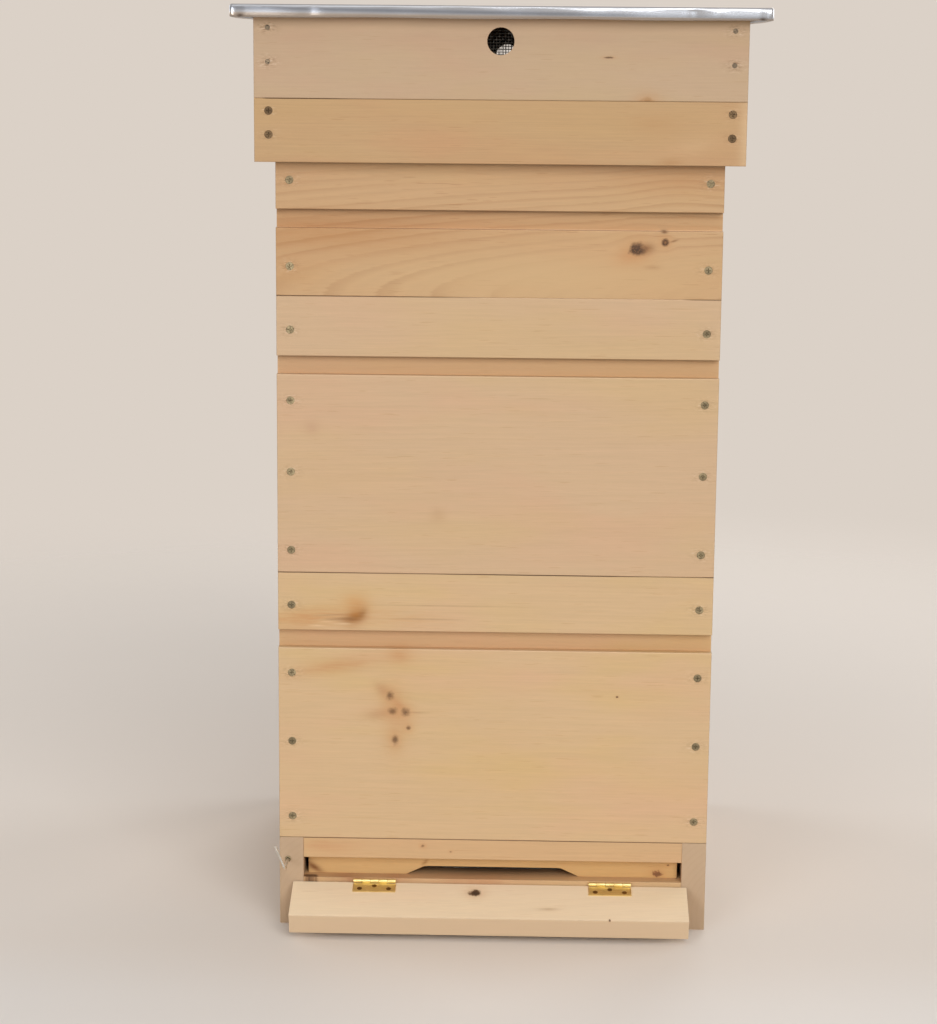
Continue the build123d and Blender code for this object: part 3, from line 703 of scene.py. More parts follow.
@dataclass(frozen=True)
class Pine:
    """Planed pine: year rings round a pith, fibres, flushes of colour, flecks, marks and end grain."""

    name: str
    grain: Grain
    tone: Tone
    pith: tuple[float, float]
    tilt: float = 0.03
    drift: float = 0.0
    ring: float = 0.0042
    phase: float = 0.0
    contrast: float = 0.34
    steady: float = 0.0
    frayed: float = 0.45
    uneven: float = 1.2
    wave: float = 0.006
    blotch: float = 0.55
    streaks: float = 0.12
    flecks: float = 0.35
    shade: float = 1.0
    seed: float = 0.0
    end_contrast: float = 0.35
    marks: tuple[Mark, ...] = ()

    def years(self, shader: Shader, spot: Spot) -> Field:
        """How many year rings lie between the tree's middle and a point.

        Args:
            shader: The board's material.
            spot: The point on the board.

        Returns:
            The number of rings.
        """
        slow = SLOW_BEND.at(shader, spot, self.seed)
        bowed = spot.across + (slow - 0.5) * (2 * self.wave)
        for mark in self.marks:
            bowed = mark.bow(spot, bowed)
        from_pith = bowed - self.pith[0] - spot.along * self.drift
        into_tree = spot.through - self.pith[1] - spot.along * self.tilt
        years = (from_pith * from_pith + into_tree * into_tree).root() / self.ring + self.phase
        growth = shader.noise(shader.vector(years * 0.5 + self.seed, 0.0, 0.0), 1.0, 1.0)
        return years + (growth - 0.5) * self.uneven

    def material(self) -> bpy.types.Material:
        """Makes the board's material.

        Returns:
            The material.
        """
        pale, dark, pink, yellow, end_tone = self.tone.value
        shader = Shader.named(self.name)
        point = shader.place()
        spot = Spot(*(point[axis] for axis in self.grain.value))
        fibre = FIBRE.at(shader, spot, depth=self.seed)
        years = self.years(shader, spot) + (fibre - 0.5) * self.frayed
        season = years.fraction()
        rise = shader.smooth(season, 0.3, 0.92)
        late = rise * rise * (1 - shader.smooth(season, 0.92, 1.0))
        each_year = shader.vector(years.whole() * 0.73 + self.seed, spot.along * 1.5, 0.0)
        vary = shader.smooth(shader.noise(each_year, 1.0, 1.0), 0.25, 0.8)
        lines = late * (self.steady + vary * (1 - self.steady)) * self.contrast
        for mark in self.marks:
            lines = mark.calm(spot, lines)

        streak = shader.noise(shader.vector(spot.along * 5, years * 3.1 + self.seed, 0.0), 1.0, 3.0, 0.6)
        fleck = FLECK.at(shader, spot, depth=self.seed)
        warm = WARM_FLUSH.at(shader, spot, self.seed)
        sunny = SUNNY_FLUSH.at(shader, spot, self.seed, SUNNY_DEPTH)

        colour = shader.mix(lines, pale, dark)
        colour = shader.mix(shader.smooth(warm, 0.42, 0.72) * self.blotch, colour, pink)
        colour = shader.mix(shader.smooth(sunny, 0.42, 0.72) * self.blotch, colour, yellow)
        value = (fibre - 0.5) * 0.08 + (streak - 0.5) * self.streaks
        value = value + (fleck - 0.5) * (0.25 * self.flecks)
        colour = shader.mix(1.0, colour, shader.grey(value + self.shade), "MULTIPLY")
        colour = shader.mix(shader.smooth(fleck, 0.66, 0.76) * self.flecks, colour, dark)
        for mark in self.marks:
            colour = mark.paint(shader, spot, colour)
        end = shader.smooth(shader.facing(self.grain.end_axis), 0.75, 0.95)
        end_colour = shader.mix(late * self.end_contrast, end_tone, dark)
        end_colour = shader.mix(1.0, end_colour, shader.grey(0.92 + sunny * 0.16), "MULTIPLY")
        colour = shader.mix(end * 0.85, colour, end_colour)
        rough = 0.6 - lines * 0.12 + end * 0.2 + (fibre - 0.5) * 0.08
        relief = fibre * 0.5 - late * 0.25 + streak * 0.25
        normal = shader.bump(relief, 0.2, 0.35 * MM)
        return shader.finish(Base_Color=colour, Roughness=rough, Normal=normal, Specular_IOR_Level=0.3)


@dataclass(frozen=True)
class Plywood:
    """Thin birch plywood with plies along its edges."""

    name: str
    face: Colour
    glue: Colour
    ply: float = 1.5 * MM

    def material(self) -> bpy.types.Material:
        """Makes the board's material.

        Returns:
            The material.
        """
        shader = Shader.named(self.name)
        x, y, z = shader.place()
        flow = shader.noise(shader.vector(x * 3, y * 9, z * 9), 1.0, 2.0)
        curl = ((y + (flow - 0.5) * 0.05) * 60 + flow * 3).fraction()
        fibre = shader.noise(shader.vector(x * 25, y * 700, z * 700), 1.0, 2.0, 0.6)
        colour = shader.mix(curl * 0.22 + fibre * 0.18, self.face, self.glue)
        edge = 1 - shader.smooth(shader.facing(2), 0.3, 0.6)
        plies = shader.smooth(abs((z / (2 * self.ply)).fraction() - 0.5), 0.2, 0.3)
        colour = shader.mix(edge * (0.25 + plies * 0.55), colour, self.glue)
        normal = shader.bump(fibre, 0.15, 0.3 * MM)
        return shader.finish(Base_Color=colour, Roughness=0.62 - fibre * 0.1, Normal=normal)


@dataclass(frozen=True)
class Wax:
    """A sheet of beeswax foundation embossed with cell bottoms."""

    name: str
    tone: Colour
    deep: Colour
    cell: float = 5.4 * MM

    def to_middle(self, y: Field, z: Field, offset: float) -> Field:
        """How far a point is from the nearest cell middle of one of the two lattices.

        Args:
            y, z: The point on the sheet.
            offset: The lattice's shift, in cells.

        Returns:
            The distance.
        """
        row = self.cell * math.sqrt(3.0)
        along = ((y / self.cell + offset).fraction() - 0.5) * self.cell
        up = ((z / row + offset).fraction() - 0.5) * row
        return (along * along + up * up).root()

    def material(self) -> bpy.types.Material:
        """Makes the sheet's material.

        Returns:
            The material.
        """
        shader = Shader.named(self.name)
        _, y, z = shader.place()
        nearest = self.to_middle(y, z, 0.0).least(self.to_middle(y, z, 0.5))
        wall = shader.smooth(nearest / (self.cell / math.sqrt(3.0)), 0.62, 0.95)
        bloom = shader.noise(shader.vector(0.0, y * 14, z * 14), 1.0, 3.0)
        colour = shader.mix(wall * 0.45 + bloom * 0.35, self.deep, self.tone)
        normal = shader.bump(wall, 0.8, 0.8 * MM)
        rough = 0.42 + bloom * 0.15
        return shader.finish(Base_Color=colour, Roughness=rough, Normal=normal, Subsurface_Weight=0.1)


@dataclass(frozen=True)
class Metal:
    """Bare metal with cloudy tarnish, specks and fine scratches."""

    name: str
    bright: Colour
    dull: Colour
    rough: float
    metallic: float = 1.0
    cloud: float = 60.0
    specks: float = 0.0
    scratch: float = 0.15
    tarnish: float = 0.6
    speck_scale: float = 700.0

    def material(self) -> bpy.types.Material:
        """Makes the metal's material.

        Returns:
            The material.
        """
        shader = Shader.named(self.name)
        x, y, z = shader.place()
        point = shader.vector(x, y, z)
        cloudy = shader.noise(point, self.cloud, 4.0, 0.6)
        speck = shader.noise(point, self.speck_scale, 2.0, 0.6)
        fine = shader.noise(shader.vector(x * 90, y * 900, z * 900), 1.0, 2.0, 0.7)
        worn = shader.smooth(cloudy, 0.35, 0.7) * self.tarnish
        spotted = (shader.smooth(speck, 0.5, 0.66) * self.specks).most(worn)
        colour = shader.mix(spotted, self.bright, self.dull)
        rough = self.rough + spotted * 0.18 + (fine - 0.5) * self.scratch
        normal = shader.bump(fine * 0.4 + cloudy * 0.6, 0.12, 0.2 * MM)
        return shader.finish(Base_Color=colour, Roughness=rough, Metallic=self.metallic, Normal=normal)


@dataclass(frozen=True)
class Galvanised:
    """Zinc-coated sheet with faint spangle, a painted darker reflection across the lip, a painted warm
    reflection on the hem and painted shade at the foot of the corner folds.
    """

    name: str
    bright: Colour
    dull: Colour
    reflection_band: Colour
    hem: Colour
    fold_shade: Colour
    lip_top: float
    lip_height: float
    fold: float
    fold_width: float = 3.5 * MM
    spangle: float = 12 * MM
    band_at: float = 0.58
    band_width: float = 0.2
    band_rise: float = 0.9
    hem_rise: float = 0.4

    def material(self) -> bpy.types.Material:
        """Makes the sheet's material.

        Returns:
            The material.
        """
        shader = Shader.named(self.name)
        x, y, z = shader.place()
        cells = {"Vector": shader.vector(x, y, z), "Scale": 1 / self.spangle}
        flake = shader.node("ShaderNodeTexVoronoi", sockets=cells, output="Color")
        tint = shader.node("ShaderNodeSeparateColor", sockets={0: flake})
        smear = shader.noise(shader.vector(x * 7, y * 7, z * 40), 1.0, 3.0)
        rub = shader.noise(shader.vector(x * 60, y * 900, z * 900), 1.0, 2.0, 0.7)
        flat = shader.smooth(shader.facing(2), 0.9, 1.0)
        colour = shader.mix(tint * 0.3 * flat + smear * 0.6, self.bright, self.dull)
        low = (self.lip_top - z) / self.lip_height
        lip = 1 - flat
        # Painted reflection: a darker stripe across the lip that rises and fades to the right.
        dark = ((low - x * self.band_rise - self.band_at) / self.band_width).bell()
        dark = dark * (1 - shader.smooth(x, 0.05, 0.2) * 0.7)
        colour = shader.mix(dark * (0.4 + smear * 0.6) * lip, colour, self.reflection_band)
        # Painted reflection of the wood in the hem's curl.
        curled = shader.smooth(low - x * self.hem_rise, 0.68, 0.92)
        colour = shader.mix(curled * 0.75 * lip, colour, self.hem)
        # Painted shade at the foot of the corner folds.
        folded = ((abs(x) - self.fold) / self.fold_width).bell() * ((low - 0.95) / 0.14).bell()
        colour = shader.mix(folded * 0.85 * lip, colour, self.fold_shade)
        rough = 0.16 + (0.4 + tint * 0.05) * flat + smear * 0.08 + (rub - 0.5) * 0.05
        normal = shader.bump(smear * 0.7 + rub * 0.3, 0.02, 0.4 * MM)
        return shader.finish(Base_Color=colour, Roughness=rough, Metallic=1.0, Normal=normal)


def paint(node: str, material: bpy.types.Material) -> None:
    """Gives a piece of the frame its material.

    Args:
        node: The piece.
        material: Its finish.
    """
    materials = frame["nodes"][node].data.materials
    materials.clear()
    materials.append(material)
    log.info("dressed %s", node)


def ease(node: str, width: float) -> None:
    """Rounds the sharp edges of a piece of the frame a little.

    Args:
        node: The piece.
        width: How far the rounding reaches from an edge.
    """
    piece = frame["nodes"][node]
    weld = piece.modifiers.new("weld", "WELD")
    weld.merge_threshold = WELD_REACH
    bevel = piece.modifiers.new("ease", "BEVEL")
    bevel.width = width
    bevel.segments = EASE_SEGMENTS
    bevel.limit_method = "ANGLE"
    bevel.angle_limit = EASE_ANGLE


def new_piece(
    name: str,
    mesh: bmesh.types.BMesh,
    body: str,
    material: bpy.types.Material,
) -> bpy.types.Object:
    """Turns a built mesh into a piece that rides on a body.

    Args:
        name: The piece's name.
        mesh: Its mesh in the hive's frame, which is used up.
        body: The body that carries it.
        material: Its finish.

    Returns:
        The new object.
    """
    bmesh.ops.recalc_face_normals(mesh, faces=mesh.faces)
    data = bpy.data.meshes.new(name)
    mesh.to_mesh(data)
    mesh.free()
    piece = bpy.data.objects.new(name, data)
    bpy.context.scene.collection.objects.link(piece)
    data.materials.append(material)
    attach(piece, body)
    log.info("built %s on %s", name, body)
    return piece


def skin(mesh: bmesh.types.BMesh, rings: Sequence[Sequence[bmesh.types.BMVert]]) -> None:
    """Joins closed rings of points by smooth faces.

    Args:
        mesh: The mesh that holds the points.
        rings: The rings, in order, each with as many points as the next.
    """
    for near, far in zip(rings, rings[1:]):
        for index in range(len(near)):
            after = (index + 1) % len(near)
            face = mesh.faces.new((near[index], near[after], far[after], far[index]))
            face.smooth = True


def wire(mesh: bmesh.types.BMesh, points: Sequence[Vector], radius: float, sides: int) -> None:
    """Adds a closed tube along a line of points.

    Args:
        mesh: The mesh that takes it.
        points: The line, with no sharp turns.
        radius: The wire's radius.
        sides: The number of its sides.
    """
    rings = []
    for index, point in enumerate(points):
        ahead = points[min(index + 1, len(points) - 1)] - points[max(index - 1, 0)]
        turn = ahead.to_track_quat("Z", "Y").to_matrix()
        angles = [2 * math.pi * side / sides for side in range(sides)]
        spokes = [turn @ Vector((math.cos(angle), math.sin(angle), 0)) for angle in angles]
        rings.append([mesh.verts.new(point + spoke * radius) for spoke in spokes])
    skin(mesh, rings)
    mesh.faces.new(rings[0])
    mesh.faces.new(rings[-1])


@dataclass(frozen=True)
class Board:
    """One piece of timber: its node, how it lies, its kind of wood and its marks."""

    node: str
    grain: Grain
    tone: Tone
    seed: int
    marks: tuple[Mark, ...] = ()
    stray_knots: int = 0
    details: Mapping[str, Any] = field(default_factory=dict)
    end_margin: float = 30 * MM
    edge_margin: float = 12 * MM
    knot_radii: tuple[float, float] = (2.0 * MM, 7.5 * MM)
    ring_widths: tuple[float, float] = (3.6 * MM, 5.8 * MM)
    pith_depths: tuple[float, float] = (70 * MM, 250 * MM)
    pith_offset: float = 80 * MM
    tilts: tuple[float, float] = (-0.06, 0.06)
    shades: tuple[float, float] = (0.98, 1.02)
    streak_slopes: tuple[float, float] = (-0.1, 0.1)
    knot_strengths: tuple[float, float] = (0.5, 0.9)

    def knots(self, chance: random.Random) -> tuple[Mark, ...]:
        """Knots with streaks beside them at places that only chance sets.

        Args:
            chance: The board's own source of chance.

        Returns:
            The marks.
        """
        low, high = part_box(self.node)
        along, across, _ = self.grain.value
        marks: list[Mark] = []
        for _ in range(self.stray_knots):
            place = chance.uniform(low[along] + self.end_margin, high[along] - self.end_margin)
            height = chance.uniform(low[across] + self.edge_margin, high[across] - self.edge_margin)
            radius = chance.uniform(*self.knot_radii)
            tone = chance.choice((KNOT_BROWN, KNOT_ORANGE))
            slope = chance.uniform(*self.streak_slopes)
            marks.append(Stain(place, height, radius * 6, radius * 1.6, slope, strength=0.35))
            strength = chance.uniform(*self.knot_strengths)
            marks.append(Knot(place, height, radius, tone=tone, strength=strength))
        return tuple(marks)

    def dress(self) -> None:
        """Works out where the board was sawn from the tree, and gives it its finish."""
        low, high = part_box(self.node)
        middle = (low + high) / 2
        _, across, through = self.grain.value
        chance = random.Random(self.seed)
        off_middle = chance.uniform(-self.pith_offset, self.pith_offset)
        off_face = chance.choice((-1, 1)) * chance.uniform(*self.pith_depths)
        values: dict[str, Any] = {
            "pith": (middle[across] + off_middle, middle[through] + off_face),
            "tilt": chance.uniform(*self.tilts),
            "ring": chance.uniform(*self.ring_widths),
            "shade": chance.uniform(*self.shades),
            "seed": float(self.seed),
            "marks": self.marks + self.knots(chance),
        }
        values.update(self.details)
        paint(self.node, Pine(self.node, self.grain, self.tone, **values).material())


@dataclass(frozen=True)
class Net:
    """Woven wire in a rectangle."""

    middle: Vector
    across: Vector
    up: Vector
    width: float
    height: float
    pitch: float
    radius: float
    sides: int = 5
    steps: int = 2

    def build(self, mesh: bmesh.types.BMesh) -> None:
        """Adds the wires, each passing over and under those that cross it.

        Args:
            mesh: The mesh that takes them.
        """
        out = self.across.cross(self.up)
        ways = (
            (self.across, self.up, self.width, self.height, 0),
            (self.up, self.across, self.height, self.width, 1),
        )
        for along, over, length, breadth, phase in ways:
            count, crossings = round(breadth / self.pitch), round(length / self.pitch)
            for number in range(count):
                start = self.middle + over * ((number + 0.5) / count - 0.5) * breadth
                line = []
                bends = crossings * self.steps if self.steps > 1 else 1
                for step in range(bends + 1):
                    part = step / bends
                    wave = math.cos(math.pi * (part * crossings + number + phase + 0.5))
                    lift = wave if self.steps > 1 else 2 * phase - 1
                    line.append(start + along * (part - 0.5) * length + out * (lift * self.radius))
                wire(mesh, line, self.radius, self.sides)


@dataclass(frozen=True)
class HiveBox:
    """One storey: four boards, screws and the frames that hang in it."""

    body: str
    tone: Tone
    seed: int
    front_marks: tuple[Mark, ...]
    front_details: Mapping[str, Any]
    screw_drops: tuple[float, ...]
    groove_warmth: float = 0.35
    groove_drop: float = 68 * MM
    groove_depth: float = 12 * MM
    groove_height: float = 21 * MM
    # How strongly a painted highlight shows along the groove's lower edge, and how far below the groove it
    # lies.
    arris: float = 0.4
    arris_drop: float = 0.5 * MM
    # How strongly painted light lifts the shaded ledge at the foot of the front groove.
    groove_ledge_light: float = 0.0
    screw_half_spacing: float = 234.5 * MM
    screw_radius: float = 5.6 * MM
    screw_tearing: float = 0.6
    frame_ease: float = 0.6 * MM

    def build(self) -> None:
        """Rounds the frames' edges."""
        for part in ("top_bars", "frame_bars"):
            ease(f"{self.body}_{part}", self.frame_ease)

    def dress(self, shared: "Shared") -> None:
        """Gives every board, screw and frame its finish.

        Args:
            shared: The finishes of the hive.
        """
        low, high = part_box(f"{self.body}_front")
        heights = tuple(high.z - drop for drop in self.screw_drops)
        heads = DrivenHeads(self.screw_half_spacing, heights, self.screw_radius, self.screw_tearing)
        top = high.z - self.groove_drop
        # Painted highlight along the groove's lower edge, where the arris would catch light.
        edge = top - self.groove_height - self.arris_drop
        arris = Seam(edge, SHUT, pale=PAINTED_EDGE_HIGHLIGHT, paleness=self.arris)
        # Both grooves get painted shade under their upper edge; the front one also gets painted light on
        # its ledge.
        cut = (self.groove_depth, top, self.groove_height)
        groove = Hollow(low.y, *cut, self.groove_warmth, ledge_light=self.groove_ledge_light)
        back_groove = Hollow(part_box(f"{self.body}_back")[1].y, *cut)
        joints = (Seam(low.z, LOOSE), Seam(high.z, LOOSE))
        boards = [
            Board(
                f"{self.body}_front",
                Grain.ACROSS_UPRIGHT,
                self.tone,
                self.seed,
                (groove, arris, *self.front_marks, heads),
                details=self.front_details,
            ),
            Board(
                f"{self.body}_back",
                Grain.ACROSS_UPRIGHT,
                self.tone,
                self.seed + 1,
                (back_groove, *joints, heads),
                stray_knots=3,
            ),
        ]
        for number, side in enumerate(("left", "right")):
            name = f"{self.body}_{side}"
            seed = self.seed + 2 + number
            boards.append(Board(name, Grain.DEEP_UPRIGHT, self.tone, seed, joints, stray_knots=3))
        for board in boards:
            board.dress()
        paint(f"{self.body}_screws", shared.screw)
        paint(f"{self.body}_top_bars", shared.bar)
        paint(f"{self.body}_frame_bars", shared.bar)
        paint(f"{self.body}_foundation", shared.wax)


@dataclass(frozen=True)
class HiveFloor:
    """The floor: runners, rails, sill, battens and mesh."""

    body: str = "floor"
    mesh_pitch: float = 3.6 * MM
    mesh_wire: float = 0.45 * MM
    batten_ease: float = 0.6 * MM
    runner_ring: float = 6.5 * MM

    def build(self, shared: "Shared") -> None:
        """Weaves the fine floor mesh and rounds the sawn battens.

        Args:
            shared: The finishes of the hive.
        """
        low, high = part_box("floor_mesh")
        right, back = Vector((1, 0, 0)), Vector((0, 1, 0))
        size = high - low
        middle = (low + high) / 2
        net = Net(middle, right, back, size.x, size.y, self.mesh_pitch, self.mesh_wire, sides=4, steps=1)
        mesh = bmesh.new()
        net.build(mesh)
        woven = new_piece("floor_mesh_wires", mesh, self.body, shared.wire)
        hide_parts("floor_mesh")
        ease("floor_side_battens", self.batten_ease)

    def dress(self, shared: "Shared") -> None:
        """Gives the floor's timber and fasteners their finishes.

        Args:
            shared: The finishes of the hive.
        """
        low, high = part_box("floor_front_rail")
        rail_marks = on_board(
            "floor_front_rail",
            Knot(-0.0817, 0.0160, 2.0 * MM, strength=0.6, soft=0.9, halo=0.6),
            Knot(-0.0488, 0.0094, 1.3 * MM, strength=0.5, soft=0.9),
            Stain(-0.195, 0.0144, 0.03, 0.008, tone=srgb(194, 136, 92), strength=0.5),
        )
        sill_marks = (
            Knot(-0.214, low.y + 0.004, 7 * MM, stretch=1.5, strength=0.85, bend=1.6),
            Stain(-0.170, low.y, 0.026, 0.02, tone=srgb(150, 88, 60), strength=0.7),
            Stain(-0.115, low.y, 0.024, 0.02, tone=srgb(166, 104, 72), strength=0.6),
            Stain(-0.02, low.y, 0.05, 0.02, tone=srgb(182, 122, 84), strength=0.5),
            # Painted shade on the sill inside the entrance, behind the block.
            Stain(0.0, low.y + 0.036, 0.13, 0.017, tone=SHADOW, strength=0.75, fibrous=0.1),
        )
        seam = Seam(high.z, RAIL_JOINT)
        upright, deep = Grain.ACROSS_UPRIGHT, Grain.DEEP_UPRIGHT
        rail_details = {"pith": (low.z + 0.0784, high.y + 0.1), "contrast": 0.12, "frayed": 0.8}
        boards = [
            Board("floor_front_rail", upright, Tone.FLOOR, 21, (seam, *rail_marks), details=rail_details),
            Board("floor_sill", Grain.ACROSS_FLAT, Tone.FLOOR, 24, sill_marks),
            Board("floor_back_rail", upright, Tone.FLOOR, 27, stray_knots=2),
            Board("floor_side_battens", deep, Tone.FLOOR, 37),
        ]
        for seed, side, pith in ((31, "left", -0.190), (34, "right", 0.310)):
            details = {"pith": (0.02, pith), "ring": self.runner_ring, "end_contrast": 0.09}
            name = f"floor_{side}_runner"
            boards.append(Board(name, deep, Tone.RUNNER, seed, stray_knots=3, details=details))
        for board in boards:
            board.dress()
        paint("floor_screws", shared.screw)


@dataclass(frozen=True)
class Landing:
    """The landing board, its hinges and the wire hook that holds it shut."""

    knot_ahead: float = 17.0 * MM
    front_arris: float = 24.6 * MM
    eye_ring: float = 2.7 * MM
    eye_wire: float = 0.9 * MM
    eye_sides: int = 10
    eye_steps: int = 28
    leaf_ease: float = 0.25 * MM

    def build(self, shared: "Shared") -> None:
        """Rounds the hinge leaves and makes the eye that the wire hook turns in.

        Args:
            shared: The finishes of the hive.
        """
        for node in ("hinge_fixed_leaves", "hinge_moving_leaves"):
            ease(node, self.leaf_ease)
        joints = frame["record"]["behaviour"]["joints"]
        middle = Vector(next(joint["pos_m"] for joint in joints if joint["name"] == "latch_turn"))
        middle.y -= self.eye_wire
        mesh = bmesh.new()
        rings = []
        ahead = Vector((0, 1, 0))
        angles = [2 * math.pi * side / self.eye_sides for side in range(self.eye_sides)]
        for step in range(self.eye_steps):
            turn = 2 * math.pi * step / self.eye_steps
            out = Vector((math.cos(turn), 0, math.sin(turn)))
            core = middle + out * self.eye_ring
            spokes = [out * math.cos(angle) + ahead * math.sin(angle) for angle in angles]
            rings.append([mesh.verts.new(core + spoke * self.eye_wire) for spoke in spokes])
        skin(mesh, [*rings, rings[0]])
        eye = new_piece("hook_eye", mesh, "floor", shared.screw)

    def dress(self, shared: "Shared") -> None:
        """Gives the board, the brass and the hook their finishes.

        Args:
            shared: The finishes of the hive.
        """
        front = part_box("floor_front_rail")[0].y
        low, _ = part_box("landing_board")
        arris = low.z + self.front_arris
        marks = (
            # Painted shade on the landing board's front face, which gets less light than its top.
            ShadedEdge(1, srgb(207, 179, 146), 0.8),
            Knot(-0.0198, front - self.knot_ahead, 6.4 * MM, strength=0.97, bend=1.9, ragged=1.5),
            Knot(0.1367, low.y, 2.2 * MM, stretch=0.6, strength=0.9, bend=1.6, through=arris),
            Stain(0.0651, low.y + 0.017, 0.012, 0.003, tone=srgb(186, 152, 112), strength=0.6),
        )
        details = {"pith": (front - 0.03, -0.12), "contrast": 0.1, "frayed": 0.8, "streaks": 0.08}
        Board("landing_board", Grain.ACROSS_FLAT, Tone.LANDING, 41, marks, details=details).dress()
        for node in ("hinge_fixed_leaves", "hinge_moving_leaves", "hinge_pins"):
            paint(node, shared.brass)
        for node in ("hinge_fixed_screws", "hinge_board_screws"):
            paint(node, shared.brass_screw)
        paint("latch_hook", shared.hook)


@dataclass(frozen=True)
class EntranceAndTray:
    """The loose entrance block and the inspection tray."""

    arris: float = 0.5 * MM

    def build(self) -> None:
        """Rounds the sawn edges a little."""
        ease("entrance_block", self.arris)
        ease("tray_panel", self.arris)

    def dress(self, shared: "Shared") -> None:
        """Gives the block and the tray their finishes.

        Args:
            shared: The finishes of the hive.
        """
        low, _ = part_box("entrance_block")
        red, heart = srgb(150, 88, 54), srgb(92, 52, 34)
        marks = on_board(
            "entrance_block",
            Knot(0.1945, 0.0051, 4.4 * MM, 1.4, red, 0.8, ragged=1.8, heart=heart),
            Knot(0.2070, 0.0157, 1.2 * MM, strength=0.7),
            Stain(-0.211, 0.0070, 0.010, 0.0045, -0.6, srgb(124, 74, 36), 0.95, 0.2),
            Stain(-0.0796, 0.0148, 0.004, 0.003, 0.8, srgb(150, 100, 50), 0.7),
        )
        details = {"pith": (low.z - 0.0275, low.y - 0.04), "contrast": 0.2, "frayed": 0.7}
        Board("entrance_block", Grain.ACROSS_UPRIGHT, Tone.BLOCK, 51, marks, details=details).dress()
        Board("tray_handle", Grain.ACROSS_UPRIGHT, Tone.FLOOR, 54, stray_knots=1).dress()
        paint("tray_panel", shared.ply)


